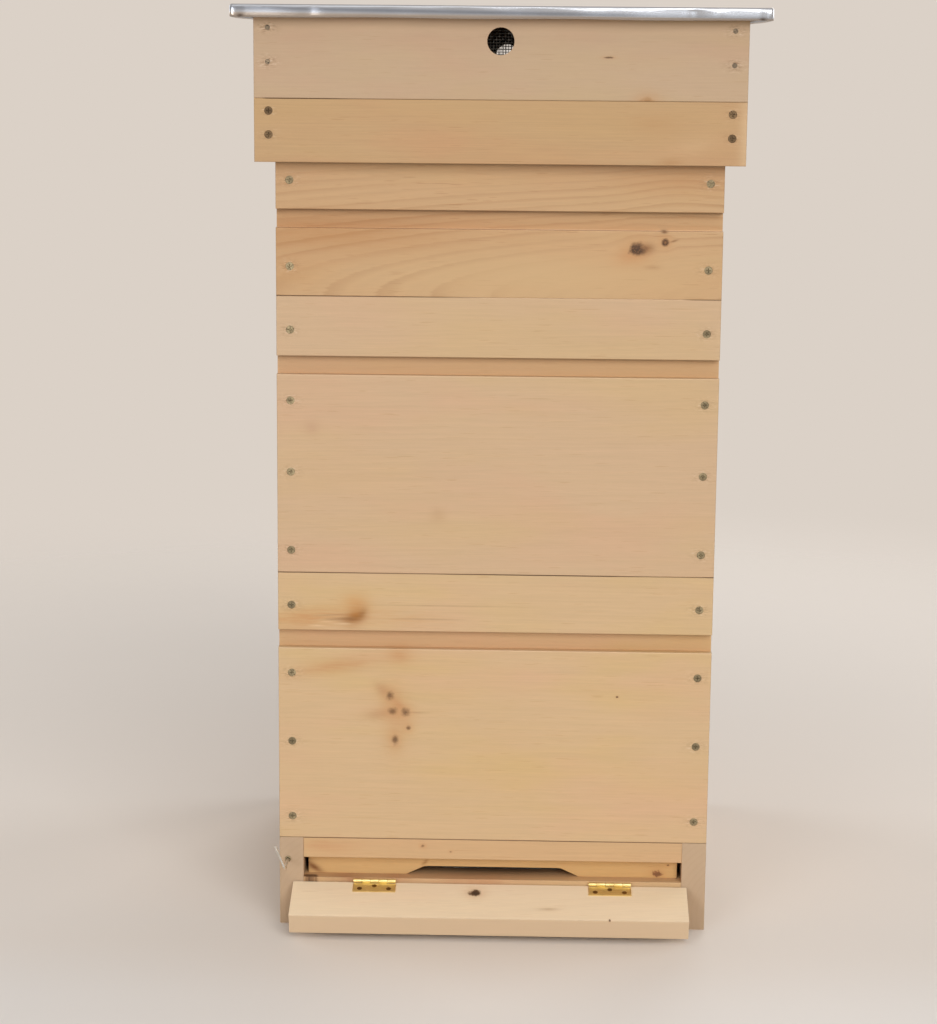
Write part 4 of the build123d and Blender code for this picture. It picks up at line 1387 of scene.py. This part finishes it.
@dataclass(frozen=True)
class MetalCover:
    """The sheet over the roof: a slightly hollow top, a dented lip, a curled hem and folded corners."""

    body: str = "roof"
    proud: float = 1.0 * MM
    edge_radius: float = 2.8 * MM
    corner_radius: float = 3.5 * MM
    bulge: float = 0.15 * MM
    hem: float = 1.2 * MM
    lip_height: float = 14.1 * MM
    flange_drop: float = 13.3 * MM
    flange_width: float = 17.0 * MM
    tab_width: float = 11.0 * MM
    tab_lift: float = 0.45 * MM
    side_steps: int = 120
    corner_steps: int = 6
    edge_steps: int = 6
    face_steps: int = 6
    hem_steps: int = 4
    top_insets: tuple[float, ...] = (100 * MM, 30 * MM)
    top_shares: tuple[float, ...] = (0.06, 0.25, 0.55)
    top_dip: float = 0.2 * MM
    top_sag: float = 0.25 * MM
    hem_wave: float = 0.35 * MM
    lip_wave: float = 0.2 * MM
    lip_ripple: float = 0.12 * MM
    tab_edge: float = 0.6 * MM
    dents: tuple[tuple[float, float, float], ...] = (
        (-0.208, 0.006, 0.4 * MM),
        (-0.190, 0.012, -0.3 * MM),
        (0.209, 0.006, 0.6 * MM),
        (0.232, 0.008, -0.4 * MM),
        (-0.05, 0.03, 0.6 * MM),
        (0.09, 0.025, -0.5 * MM),
    )

    def section(self) -> list[tuple[float, float]]:
        """The lip's outline from the top to the flange under the deck.

        Returns:
            Pairs of how far in from the outer face and how far below the top each point lies.
        """
        edge, hem, bottom = self.edge_radius, self.hem, self.lip_height
        points = [(inset, 0.0) for inset in self.top_insets]
        for step in range(self.edge_steps + 1):
            angle = math.pi / 2 * step / self.edge_steps
            points.append((edge * (1 - math.sin(angle)), edge * (1 - math.cos(angle))))
        face = bottom - hem - edge
        for step in range(1, self.face_steps + 1):
            part = step / self.face_steps
            points.append((-self.bulge * math.sin(math.pi * part), edge + face * part))
        for step in range(1, self.hem_steps + 1):
            angle = math.pi / self.hem_steps * step
            points.append((hem * (1 - math.cos(angle)), bottom - hem + hem * math.sin(angle)))
        points += [(3 * hem, self.flange_drop), (self.flange_width, self.flange_drop)]
        return points

    def rim(self, half: Vector, middle: Vector) -> list[tuple[Vector, Vector]]:
        """The outline of the cover.

        Args:
            half: Half the cover's width and depth.
            middle: Its middle.

        Returns:
            Points round the outline with their outward directions.
        """
        points = []
        radius = self.corner_radius
        corners = ((1, -1, -90), (1, 1, 0), (-1, 1, 90), (-1, -1, 180))
        for number, (right, back, turn) in enumerate(corners):
            bend = middle + Vector((right * (half.x - radius), back * (half.y - radius), 0))
            for step in range(self.corner_steps + 1):
                angle = math.radians(turn + 90 * step / self.corner_steps)
                out = Vector((math.cos(angle), math.sin(angle), 0))
                points.append((bend + out * radius, out))
            after = corners[(number + 1) % 4]
            next_bend = middle + Vector((after[0] * (half.x - radius), after[1] * (half.y - radius), 0))
            for step in range(1, self.side_steps):
                points.append((bend.lerp(next_bend, step / self.side_steps) + out * radius, out))
        return points

    def dent(self, point: Vector, out: Vector, half: Vector) -> float:
        """How far the lip is pushed in at a point of its outline.

        Args:
            point: The point.
            out: The lip's outward direction there.
            half: Half the cover's width and depth.

        Returns:
            The depth of the dent, less than 0 where the sheet stands out.
        """
        place = point.x if abs(out.y) > 0.5 else point.y
        wavy = self.lip_wave * math.sin(place * 37 + out.x * 2)
        wavy += self.lip_ripple * math.sin(place * 83 + out.y)
        if abs(out.y) > 0.9:
            from_corner = half.x - abs(place)
            wavy -= self.tab_lift / (1 + math.exp((from_corner - self.tab_width) / self.tab_edge))
        if out.y > -0.9:
            return wavy
        return wavy + sum(deep * math.exp(-(((place - at) / wide) ** 2)) for at, wide, deep in self.dents)

    def build(self, shared: "Shared") -> None:
        """Folds the sheet round its outline and closes its top.

        Args:
            shared: The finishes of the hive.
        """
        low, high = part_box("roof_cover")
        half, middle = (high - low) / 2, (high + low) / 2
        half += Vector((self.proud, self.proud, 0))
        middle.z = 0.0
        rim = self.rim(half, middle)
        mesh = bmesh.new()
        rings = []
        for share in self.top_shares:
            ring = []
            for point, _ in rim:
                spot = middle + (point - middle) * share
                dip = self.top_dip * (1.4 + math.sin(spot.x * 9 + 0.6) * math.cos(spot.y * 8))
                ring.append(mesh.verts.new((spot.x, spot.y, high.z - dip)))
            rings.append(ring)
        for inset, drop in self.section():
            ring = []
            for point, out in rim:
                on_lip = min(1.0, max(0.0, drop / self.edge_radius - 0.4))
                spot = point - out * (inset + self.dent(point, out, half) * on_lip)
                sag = 0.0
                if inset > self.flange_width:
                    spot = middle + (point - middle) * (1 - inset / half.x)
                    sag = self.top_sag * abs(math.sin(point.x * 19 + point.y * 27))
                wave = self.hem_wave * math.sin(point.x * 31 + point.y * 24)
                edge = wave * (drop / self.lip_height) ** 4
                ring.append(mesh.verts.new((spot.x, spot.y, high.z - drop - sag + edge)))
            rings.append(ring)
        skin(mesh, rings)
        mesh.faces.new(rings[0])
        sheet = new_piece("roof_sheet", mesh, self.body, shared.sheet)
        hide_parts("roof_cover")


@dataclass(frozen=True)
class RoofAndEke:
    """The crown board, the eke and the roof with its vents and metal cover."""

    body: str = "roof"
    vent_pitch: float = 3.3 * MM
    vent_wire: float = 0.4 * MM
    vent_size: float = 40 * MM
    nail_half_spacing: float = 255.5 * MM
    nail_drops: tuple[float, ...] = (11.7 * MM, 48.6 * MM)
    nail_radius: float = 5.0 * MM
    nail_tearing: float = 0.9
    screw_half_spacing: float = 255 * MM
    screw_drops: tuple[float, ...] = (13.5 * MM, 39.5 * MM)
    screw_radius: float = 4.6 * MM
    screw_tearing: float = 0.5
    lid_shade: float = 4.0 * MM
    # Where the painted light stripe under the lid lies and how wide it is.
    painted_light_drop: float = 9.5 * MM
    painted_light_width: float = 6.0 * MM
    batten_ease: float = 0.6 * MM
    board_ease: float = 0.5 * MM
    plug_ease: float = 1.2 * MM

    def vents(self, shared: "Shared") -> None:
        """Weaves the fine mesh behind both vents.

        Args:
            shared: The finishes of the hive.
        """
        low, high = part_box("vent_mesh")
        openings = {item["name"]: item["box_m"] for item in frame["record"]["physics"]["openings"]}
        right, up = Vector((1, 0, 0)), Vector((0, 0, 1))
        mesh = bmesh.new()
        for name, y, inward in (("front_vent", low.y, 1), ("back_vent", high.y, -1)):
            near, far = (Vector(corner) for corner in openings[name])
            middle = (near + far) / 2
            middle.y = y + inward * 2 * self.vent_wire
            net = Net(middle, right, up, self.vent_size, self.vent_size, self.vent_pitch, self.vent_wire)
            net.build(mesh)
        woven = new_piece("vent_mesh_wires", mesh, self.body, shared.vent_wire)
        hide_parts("vent_mesh")

    def build(self, shared: "Shared") -> None:
        """Makes the metal cover and the vent mesh, and rounds the pieces out of sight.

        Args:
            shared: The finishes of the hive.
        """
        MetalCover().build(shared)
        self.vents(shared)
        ease("roof_battens", self.batten_ease)
        ease("crown_board", self.board_ease)
        ease("feed_plug", self.plug_ease)

    def dress(self, shared: "Shared") -> None:
        """Gives the boards and fasteners their finishes.

        Args:
            shared: The finishes of the hive.
        """
        low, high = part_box("roof_front")
        _, eke_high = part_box("eke_front")
        nail_heights = tuple(high.z - drop for drop in self.nail_drops)
        nails = DrivenHeads(self.nail_half_spacing, nail_heights, self.nail_radius, self.nail_tearing)
        screw_heights = tuple(eke_high.z - drop for drop in self.screw_drops)
        screws = DrivenHeads(self.screw_half_spacing, screw_heights, self.screw_radius, self.screw_tearing)
        # Painted light: a pale stripe along the roof front just under the lid lifts the shade there.
        pale = srgb(213, 181, 147)
        soft, heart = srgb(180, 138, 90), srgb(158, 116, 72)
        roof_marks = (
            # Painted light under the lid.
            Stain(0.0, high.z - self.painted_light_drop, 2.0, self.painted_light_width, 0.0, pale, 0.8, 0.1),
            nails,
            # Painted shadow on the roof front just under the lid's overhang.
            Seam(high.z, LID_SHADOW, self.lid_shade),
            Seam(low.z, ROOF_JOINT),
            *on_board(
                "roof_front",
                Knot(0.1182, 0.0469, 1.3 * MM, stretch=5.0, strength=0.8, bend=1.6, soft=0.8),
                Knot(0.1607, 0.0002, 5.5 * MM, 1.6, soft, 0.75, soft=0.9, heart=heart),
            ),
        )
        figure = on_board(
            "eke_front",
            Stain(eke_high.x, 0.0300, 0.008, 0.06, 0.0, srgb(214, 182, 142), 0.7, 0.2),
            Stain(0.188, 0.0040, 0.014, 0.005, 0.1, srgb(172, 124, 78), 0.55, 0.5),
            Stain(0.210, 0.0200, 0.028, 0.010, 0.2, srgb(206, 170, 128), 0.5, 0.4),
            Stain(0.170, 0.0450, 0.030, 0.012, 0.0, srgb(184, 138, 92), 0.35, 0.4),
        )
        eke_marks = (Seam(eke_high.z, ROOF_JOINT), *figure, screws)
        upright, deep = Grain.ACROSS_UPRIGHT, Grain.DEEP_UPRIGHT
        sawn = {"pith": (low.z - 0.261, low.y - 0.1), "blotch": 0.9}
        roof_details = {**sawn, "contrast": 0.05, "tilt": 0.003, "streaks": 0.06}
        eke_details = {**sawn, "contrast": 0.16, "tilt": 0.004, "streaks": 0.2}
        Board("roof_front", upright, Tone.ROOF, 61, roof_marks, details=roof_details).dress()
        Board("eke_front", upright, Tone.EKE, 64, eke_marks, details=eke_details).dress()
        joint = Seam(low.z, LOOSE)
        storeys = (("roof", Tone.ROOF, nails), ("eke", Tone.EKE, screws))
        for number, (part, tone, heads) in enumerate(storeys):
            Board(f"{part}_back", upright, tone, 67 + number, (joint, heads), stray_knots=2).dress()
            for side_number, side in enumerate(("left", "right")):
                seed = 71 + 2 * side_number + number
                Board(f"{part}_{side}", deep, tone, seed, (joint,), stray_knots=2).dress()
        Board("roof_battens", upright, Tone.FLOOR, 77).dress()
        Board("feed_plug", Grain.ACROSS_FLAT, Tone.BLOCK, 79).dress()
        paint("roof_nails", shared.nail)
        paint("eke_screws", shared.dark_screw)
        paint("roof_deck", shared.ply)
        paint("crown_board", shared.ply)


class Shared:
    """The finishes that several sub-assemblies share."""

    def __init__(self) -> None:
        """Makes each finish once."""
        cover_low, cover_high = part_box("roof_cover")
        self.screw = Metal(
            "screw_steel", srgb(170, 154, 120), srgb(82, 68, 46), 0.5, metallic=0.6, specks=0.8
        ).material()
        self.dark_screw = Metal(
            "dark_screw_steel", srgb(124, 100, 70), srgb(62, 46, 30), 0.5, metallic=0.6, specks=0.8
        ).material()
        self.nail = Metal(
            "nail_steel", srgb(142, 124, 100), srgb(50, 40, 30), 0.45, metallic=0.4, specks=1.0
        ).material()
        self.brass = Metal("brass", srgb(232, 212, 150), srgb(204, 176, 110), 0.42).material()
        self.brass_screw = Metal("brass_screw", srgb(150, 118, 70), srgb(84, 60, 38), 0.4).material()
        self.hook = Metal("hook_wire", srgb(226, 222, 214), srgb(168, 164, 154), 0.26).material()
        self.wire = Metal("mesh_wire", srgb(176, 176, 172), srgb(120, 120, 116), 0.4).material()
        self.vent_wire = Metal(
            "vent_wire",
            srgb(120, 116, 108),
            srgb(24, 22, 20),
            0.45,
            metallic=0.6,
            cloud=260.0,
            tarnish=1.0,
        ).material()
        self.sheet = Galvanised(
            "galvanised_sheet",
            bright=srgb(190, 194, 201),
            dull=srgb(162, 167, 176),
            # Painted reflection on the lip and the hem, and painted shade at the folds.
            reflection_band=srgb(112, 118, 130),
            hem=srgb(176, 160, 142),
            fold_shade=srgb(84, 70, 60),
            lip_top=cover_high.z,
            lip_height=cover_high.z - cover_low.z,
            fold=cover_high.x - MetalCover.tab_width,
        ).material()
        self.ply = Plywood("plywood", srgb(206, 174, 134), srgb(164, 124, 84)).material()
        self.wax = Wax("wax", srgb(232, 188, 92), srgb(206, 150, 56)).material()
        pith = (0.9, 0.3)
        self.bar = Pine("frame_bars", Grain.DEEP_FLAT, Tone.FRAME, pith, seed=81.0, ring=3 * MM).material()


@dataclass(frozen=True)
class Lamp:
    """A soft rectangular lamp that faces the hive."""

    name: str
    place: Vector
    size: tuple[float, float]
    watts: float
    tint: tuple[float, float, float] = (1.0, 1.0, 1.0)

    def build(self, target: Vector) -> None:
        """Hangs the lamp.

        Args:
            target: The point that it faces.
        """
        light = bpy.data.lights.new(self.name, "AREA")
        light.shape = "RECTANGLE"
        light.size, light.size_y = self.size
        light.energy = self.watts
        light.color = self.tint
        lamp = bpy.data.objects.new(self.name, light)
        bpy.context.scene.collection.objects.link(lamp)
        lamp.location = self.place
        lamp.rotation_euler = (target - self.place).to_track_quat("-Z", "Y").to_euler()


@dataclass(frozen=True)
class Studio:
    """The plain floor, the soft light and the camera."""

    backdrop: Colour = srgb(219, 209, 199)
    ground: Colour = srgb(231, 222, 213)
    front_floor_light: Colour = srgb(237, 231, 225)
    sky: float = 0.2
    floor_radius: float = 6.0
    floor_sides: int = 96
    front_start: float = -0.28
    front_end: float = -0.5
    mottle: float = 1.03
    fade_start: float = 1.1
    fade_end: float = 2.6
    camera_place: Vector = field(default_factory=lambda: Vector((31.8, -2691.1, 1006.8)) * MM)
    pitch: float = 10.725
    yaw: float = 1.346
    roll: float = 0.492
    lens: float = 84.375

    def floor(self) -> None:
        """Lays the pale floor, which fades into the backdrop away from the hive; painted light makes it
        brighter in front of the hive.
        """
        shader = Shader.named("studio_floor")
        x, y, z = shader.place()
        soft = shader.noise(shader.vector(x * 1.2, y * 3.0, z), 1.0, 3.0)
        pale = tuple(min(1.0, channel * self.mottle) for channel in self.ground[:3])
        colour = shader.mix(soft, self.ground, (*pale, 1.0))
        # Painted light: the floor is brighter in front of the hive.
        ahead = 1 - shader.smooth(y, self.front_end, self.front_start)
        colour = shader.mix(ahead, colour, self.front_floor_light)
        away = (x * x + y * y).root()
        shows = 1 - shader.smooth(away, self.fade_start, self.fade_end)
        rough = 0.85 + soft * 0.1
        material = shader.finish(Base_Color=colour, Roughness=rough, Alpha=shows, Specular_IOR_Level=0.2)
        mesh = bmesh.new()
        bmesh.ops.create_circle(mesh, cap_ends=True, radius=self.floor_radius, segments=self.floor_sides)
        data = bpy.data.meshes.new("studio_floor")
        mesh.to_mesh(data)
        mesh.free()
        ground = bpy.data.objects.new("studio_floor", data)
        data.materials.append(material)
        bpy.context.scene.collection.objects.link(ground)

    def world(self) -> None:
        """Surrounds the hive with even light, and shows the plain backdrop to the camera and to metal."""
        world = bpy.data.worlds.new("studio")
        bpy.context.scene.world = world
        shader = Shader(world)
        rays = ("Is Camera Ray", "Is Glossy Ray", "Is Transmission Ray")
        seen, gloss, through = (shader.node("ShaderNodeLightPath", output=ray) for ray in rays)
        even = {"Color": (1, 1, 1, 1), "Strength": self.sky}
        light = shader.node("ShaderNodeBackground", sockets=even)
        plain = {"Color": self.backdrop, "Strength": 1.0}
        view = shader.node("ShaderNodeBackground", sockets=plain)
        shown = seen.most(gloss).most(through)
        both = shader.node("ShaderNodeMixShader", sockets={0: shown, 1: light, 2: view})
        shader.node("ShaderNodeOutputWorld", sockets={"Surface": both})

    def lamps(self) -> None:
        """Hangs a key lamp, a fill, lamps above, beside and behind, and a small glint for metal."""
        target = Vector((0.0, 0.0, 0.5))
        for lamp in (
            Lamp("key", Vector((2.2, -6.0, 3.3)), (3.6, 2.8), 195.0),
            Lamp("fill", Vector((-2.2, -4.6, 1.2)), (2.0, 1.4), 62.0),
            Lamp("above", Vector((0.3, -2.4, 3.4)), (4.4, 3.4), 31.0),
            Lamp("left", Vector((-3.6, 1.6, 1.9)), (2.0, 2.0), 38.0),
            Lamp("right", Vector((3.6, 1.6, 1.9)), (2.0, 2.0), 42.0),
            Lamp("behind", Vector((0.8, 4.0, 2.0)), (2.4, 2.0), 66.0),
            Lamp("glint", Vector((0.58, -5.0, 1.15)), (0.45, 0.5), 0.9, (0.86, 0.94, 1.0)),
        ):
            lamp.build(target)

    def camera(self) -> None:
        """Sets the camera where the photograph was taken from."""
        data = bpy.data.cameras.new("camera")
        data.lens = self.lens
        camera = bpy.data.objects.new("camera", data)
        bpy.context.scene.collection.objects.link(camera)
        front = Vector((0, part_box("lower_deep_front")[0].y, 0))
        turn = Matrix.Rotation(math.radians(self.yaw), 4, "Z")
        tilt = Matrix.Rotation(math.radians(90 - self.pitch), 4, "X")
        lean = Matrix.Rotation(math.radians(self.roll), 4, "Z")
        camera.matrix_world = Matrix.Translation(front + self.camera_place) @ turn @ tilt @ lean
        bpy.context.scene.camera = camera

    def build(self) -> None:
        """Sets up the whole studio."""
        bpy.context.scene.view_settings.view_transform = "Standard"
        self.floor()
        self.world()
        self.lamps()
        self.camera()


def lower_marks() -> tuple[Mark, ...]:
    """The marks on the front of the lower deep box: a resin smear, a cluster of pin knots and streaks.

    Returns:
        The marks, in the order in which they are painted.
    """
    low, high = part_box("lower_deep_front")
    pins = (
        (-0.1204, 0.1729, 6.2, 1.0),
        (-0.1176, 0.1545, 5.6, 1.2),
        (-0.1027, 0.1533, 6.0, 1.0),
        (-0.0992, 0.1346, 3.6, 1.0),
        (-0.1147, 0.1199, 7.2, 0.65),
    )
    pin_heart = srgb(102, 74, 50)
    knots = [
        Knot(x, height, size * MM, stretch, strength=0.85, bend=2.6, soft=1.0, halo=0.42, heart=pin_heart)
        for x, height, size, stretch in pins
    ]
    body, edge, light = srgb(176, 116, 54), srgb(132, 88, 46), srgb(238, 208, 168)
    smear = (
        Stain(-0.1600, 0.2675, 0.0125, 0.0108, 0.25, body, 0.95, 0.2),
        Stain(-0.1660, 0.2630, 0.0110, 0.0046, 0.1, edge, 0.75, 0.4),
        Stain(-0.1530, 0.2700, 0.0050, 0.0050, 0.5, edge, 0.5, 0.3),
        Stain(-0.1800, 0.2635, 0.0160, 0.0016, 0.05, edge, 0.6, 0.5),
        Stain(-0.1900, 0.2680, 0.0200, 0.0013, 0.06, edge, 0.4, 0.6),
        Stain(-0.1740, 0.2580, 0.0090, 0.0011, 0.0, light, 0.5, 0.4),
        Stain(-0.1940, 0.2602, 0.0080, 0.0010, 0.0, light, 0.4, 0.5),
        Stain(-0.2050, 0.2552, 0.0080, 0.0010, 0.0, light, 0.5, 0.4),
        Stain(-0.0600, 0.2806, 0.0800, 0.0010, 0.0, edge, 0.3, 0.6),
        Stain(-0.0830, 0.2648, 0.0400, 0.0010, 0.0, edge, 0.3, 0.6),
    )
    figure = on_board(
        "lower_deep_front",
        Stain(-0.2155, 0.2640, 0.055, 0.012, 0.10, srgb(198, 142, 90), 0.8, 0.6),
        Stain(-0.1100, 0.2660, 0.050, 0.011, 0.0, srgb(204, 154, 104), 0.45, 0.9),
        Stain(-0.1610, 0.2835, 0.016, 0.011, 0.0, srgb(204, 154, 98), 0.75, 0.3),
        *smear,
        Stain(-0.1830, 0.2080, 0.048, 0.009, 0.17, srgb(194, 142, 94), 0.75, 0.4),
        Stain(-0.1094, 0.2210, 0.016, 0.010, 0.0, srgb(194, 142, 92), 0.7, 0.35),
        Stain(-0.1290, 0.1800, 0.010, 0.008, -0.4, srgb(178, 132, 90), 0.6, 0.3),
        Stain(-0.1110, 0.1630, 0.007, 0.005, -0.5, srgb(190, 134, 92), 0.6, 0.3),
        Stain(-0.1345, 0.1509, 0.018, 0.006, 0.1, srgb(178, 132, 90), 0.65, 0.4),
        Stain(-0.0880, 0.1533, 0.012, 0.0012, 0.0, srgb(160, 118, 80), 0.5, 0.4),
        Stain(-0.1147, 0.1440, 0.016, 0.038, 0.0, srgb(196, 150, 104), 0.5, 0.3),
        Knot(0.1422, 0.1755, 1.3 * MM, strength=0.85, bend=1.8),
        *knots,
    )
    return (Seam(high.z, DEEP_JOINT), Seam(low.z, FLOOR_JOINT), *figure)


def upper_marks() -> tuple[Mark, ...]:
    """The marks on the front of the upper deep box: two faint round spots.

    Returns:
        The marks, in the order in which they are painted.
    """
    low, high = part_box("upper_deep_front")
    spots = on_board(
        "upper_deep_front",
        Stain(-0.2099, 0.1678, 0.009, 0.009, 0.0, srgb(190, 150, 120), 0.5, 0.2),
        Stain(-0.0662, 0.0689, 0.009, 0.009, 0.0, srgb(188, 150, 112), 0.45, 0.2),
    )
    # The joint with the super carries painted light where it is shut.
    return (Seam(high.z, SUPER_JOINT, pale=PAINTED_LIGHT, paleness=0.3), Seam(low.z, DEEP_JOINT), *spots)


def super_marks() -> tuple[Mark, ...]:
    """The marks on the front of the super: two knots, dashes, a rise of the lines and calm patches.

    Returns:
        The marks, in the order in which they are painted.
    """
    low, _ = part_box("super_front")
    eke_low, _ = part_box("eke_front")
    # Painted shadow on the super just under the eke's overhang.
    eke_shadow = Seam(eke_low.z, EKE_SHADOW, 3.0 * MM)
    flush = srgb(190, 140, 92)
    figure = on_board(
        "super_front",
        Swell(0.195, 0.1210, 0.05, 0.03, 0.007),
        Calm(0.12, 0.0280, 0.21, 0.045, 0.95),
        Calm(-0.05, 0.1330, 0.33, 0.04, 0.85),
        Stain(0.06, 0.0230, 0.20, 0.032, 0.0, srgb(205, 171, 126), 0.75, 0.1),
        Stain(-0.20, 0.0700, 0.17, 0.024, 0.0, srgb(186, 136, 88), 0.75, 0.2),
        Stain(-0.24, 0.0230, 0.05, 0.020, 0.0, flush, 0.35, 0.3),
        Stain(0.205, 0.1330, 0.08, 0.018, 0.0, flush, 0.5, 0.35),
        Stain(0.146, 0.0480, 0.017, 0.009, 0.2, srgb(198, 142, 94), 0.45, 0.2),
        Stain(0.1640, 0.0565, 0.0085, 0.0056, 0.1, srgb(116, 82, 56), 0.9, 0.2),
        Knot(0.1548, 0.0557, 8.8 * MM, 1.2, strength=0.95, soft=0.7, halo=0.4, heart=srgb(66, 46, 34)),
        Knot(0.1856, 0.0638, 4.9 * MM, 1.0, strength=0.97, bend=2.0, ragged=0.6, pale_middle=0.4),
        Stain(0.1845, 0.0752, 0.0034, 0.0016, 0.0, srgb(112, 74, 46), 0.9, 0.1),
        Stain(0.1955, 0.0655, 0.0045, 0.0012, 0.3, srgb(128, 88, 54), 0.7, 0.2),
        Stain(0.1719, 0.0358, 0.009, 0.0022, 0.0, srgb(160, 118, 74), 0.5),
    )
    # The joint with the upper deep box carries painted light where it is shut.
    return (Seam(low.z, SUPER_JOINT, pale=PAINTED_LIGHT, paleness=0.3), eke_shadow, *figure)


def boxes() -> list[HiveBox]:
    """The three storeys, each with the way that its front board was sawn.

    Returns:
        The storeys, from the floor up.
    """
    names = ("lower_deep", "upper_deep", "super")
    lower_foot, upper_foot, super_foot = (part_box(f"{name}_front")[0].z for name in names)
    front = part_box("lower_deep_front")[0].y
    deep_drops = (38.5 * MM, 119 * MM, 201 * MM, 292 * MM)
    super_drops = (36 * MM, 132 * MM)
    mottled = {
        "ring": 6.4 * MM,
        "frayed": 0.9,
        "wave": 0.012,
        "blotch": 0.9,
        "streaks": 0.18,
        "flecks": 0.3,
    }
    lower = {"pith": (lower_foot - 0.206, front + 0.12), "tilt": 0.02, "contrast": 0.08, **mottled}
    upper = {"pith": (upper_foot - 0.224, front + 0.16), "tilt": -0.03, "contrast": 0.07, **mottled}
    top = {
        "pith": (super_foot, front + 0.06),
        "tilt": -0.123,
        "ring": 7.9 * MM,
        "phase": 0.23,
        "contrast": 0.72,
        "steady": 0.3,
        "frayed": 0.3,
        "uneven": 0.5,
        "wave": 0.004,
        "streaks": 0.14,
    }
    return [
        HiveBox("lower_deep", Tone.LOWER, 2, lower_marks(), lower, deep_drops),
        HiveBox("upper_deep", Tone.UPPER, 11, upper_marks(), upper, deep_drops),
        HiveBox(
            "super",
            Tone.SUPER,
            17,
            super_marks(),
            top,
            super_drops,
            groove_warmth=0.12,
            arris=0.15,
            groove_ledge_light=0.32,
        ),
    ]


def main() -> None:
    """Builds and dresses the hive, then the studio."""
    logging.basicConfig(level=logging.INFO, format="%(name)s: %(message)s")
    shared = Shared()
    for box in boxes():
        box.build()
        box.dress(shared)
    entrance = EntranceAndTray()
    entrance.build()
    entrance.dress(shared)
    for part in (HiveFloor(), Landing(), RoofAndEke()):
        part.build(shared)
        part.dress(shared)
    Studio().build()


if __name__ == "__main__":
    main()
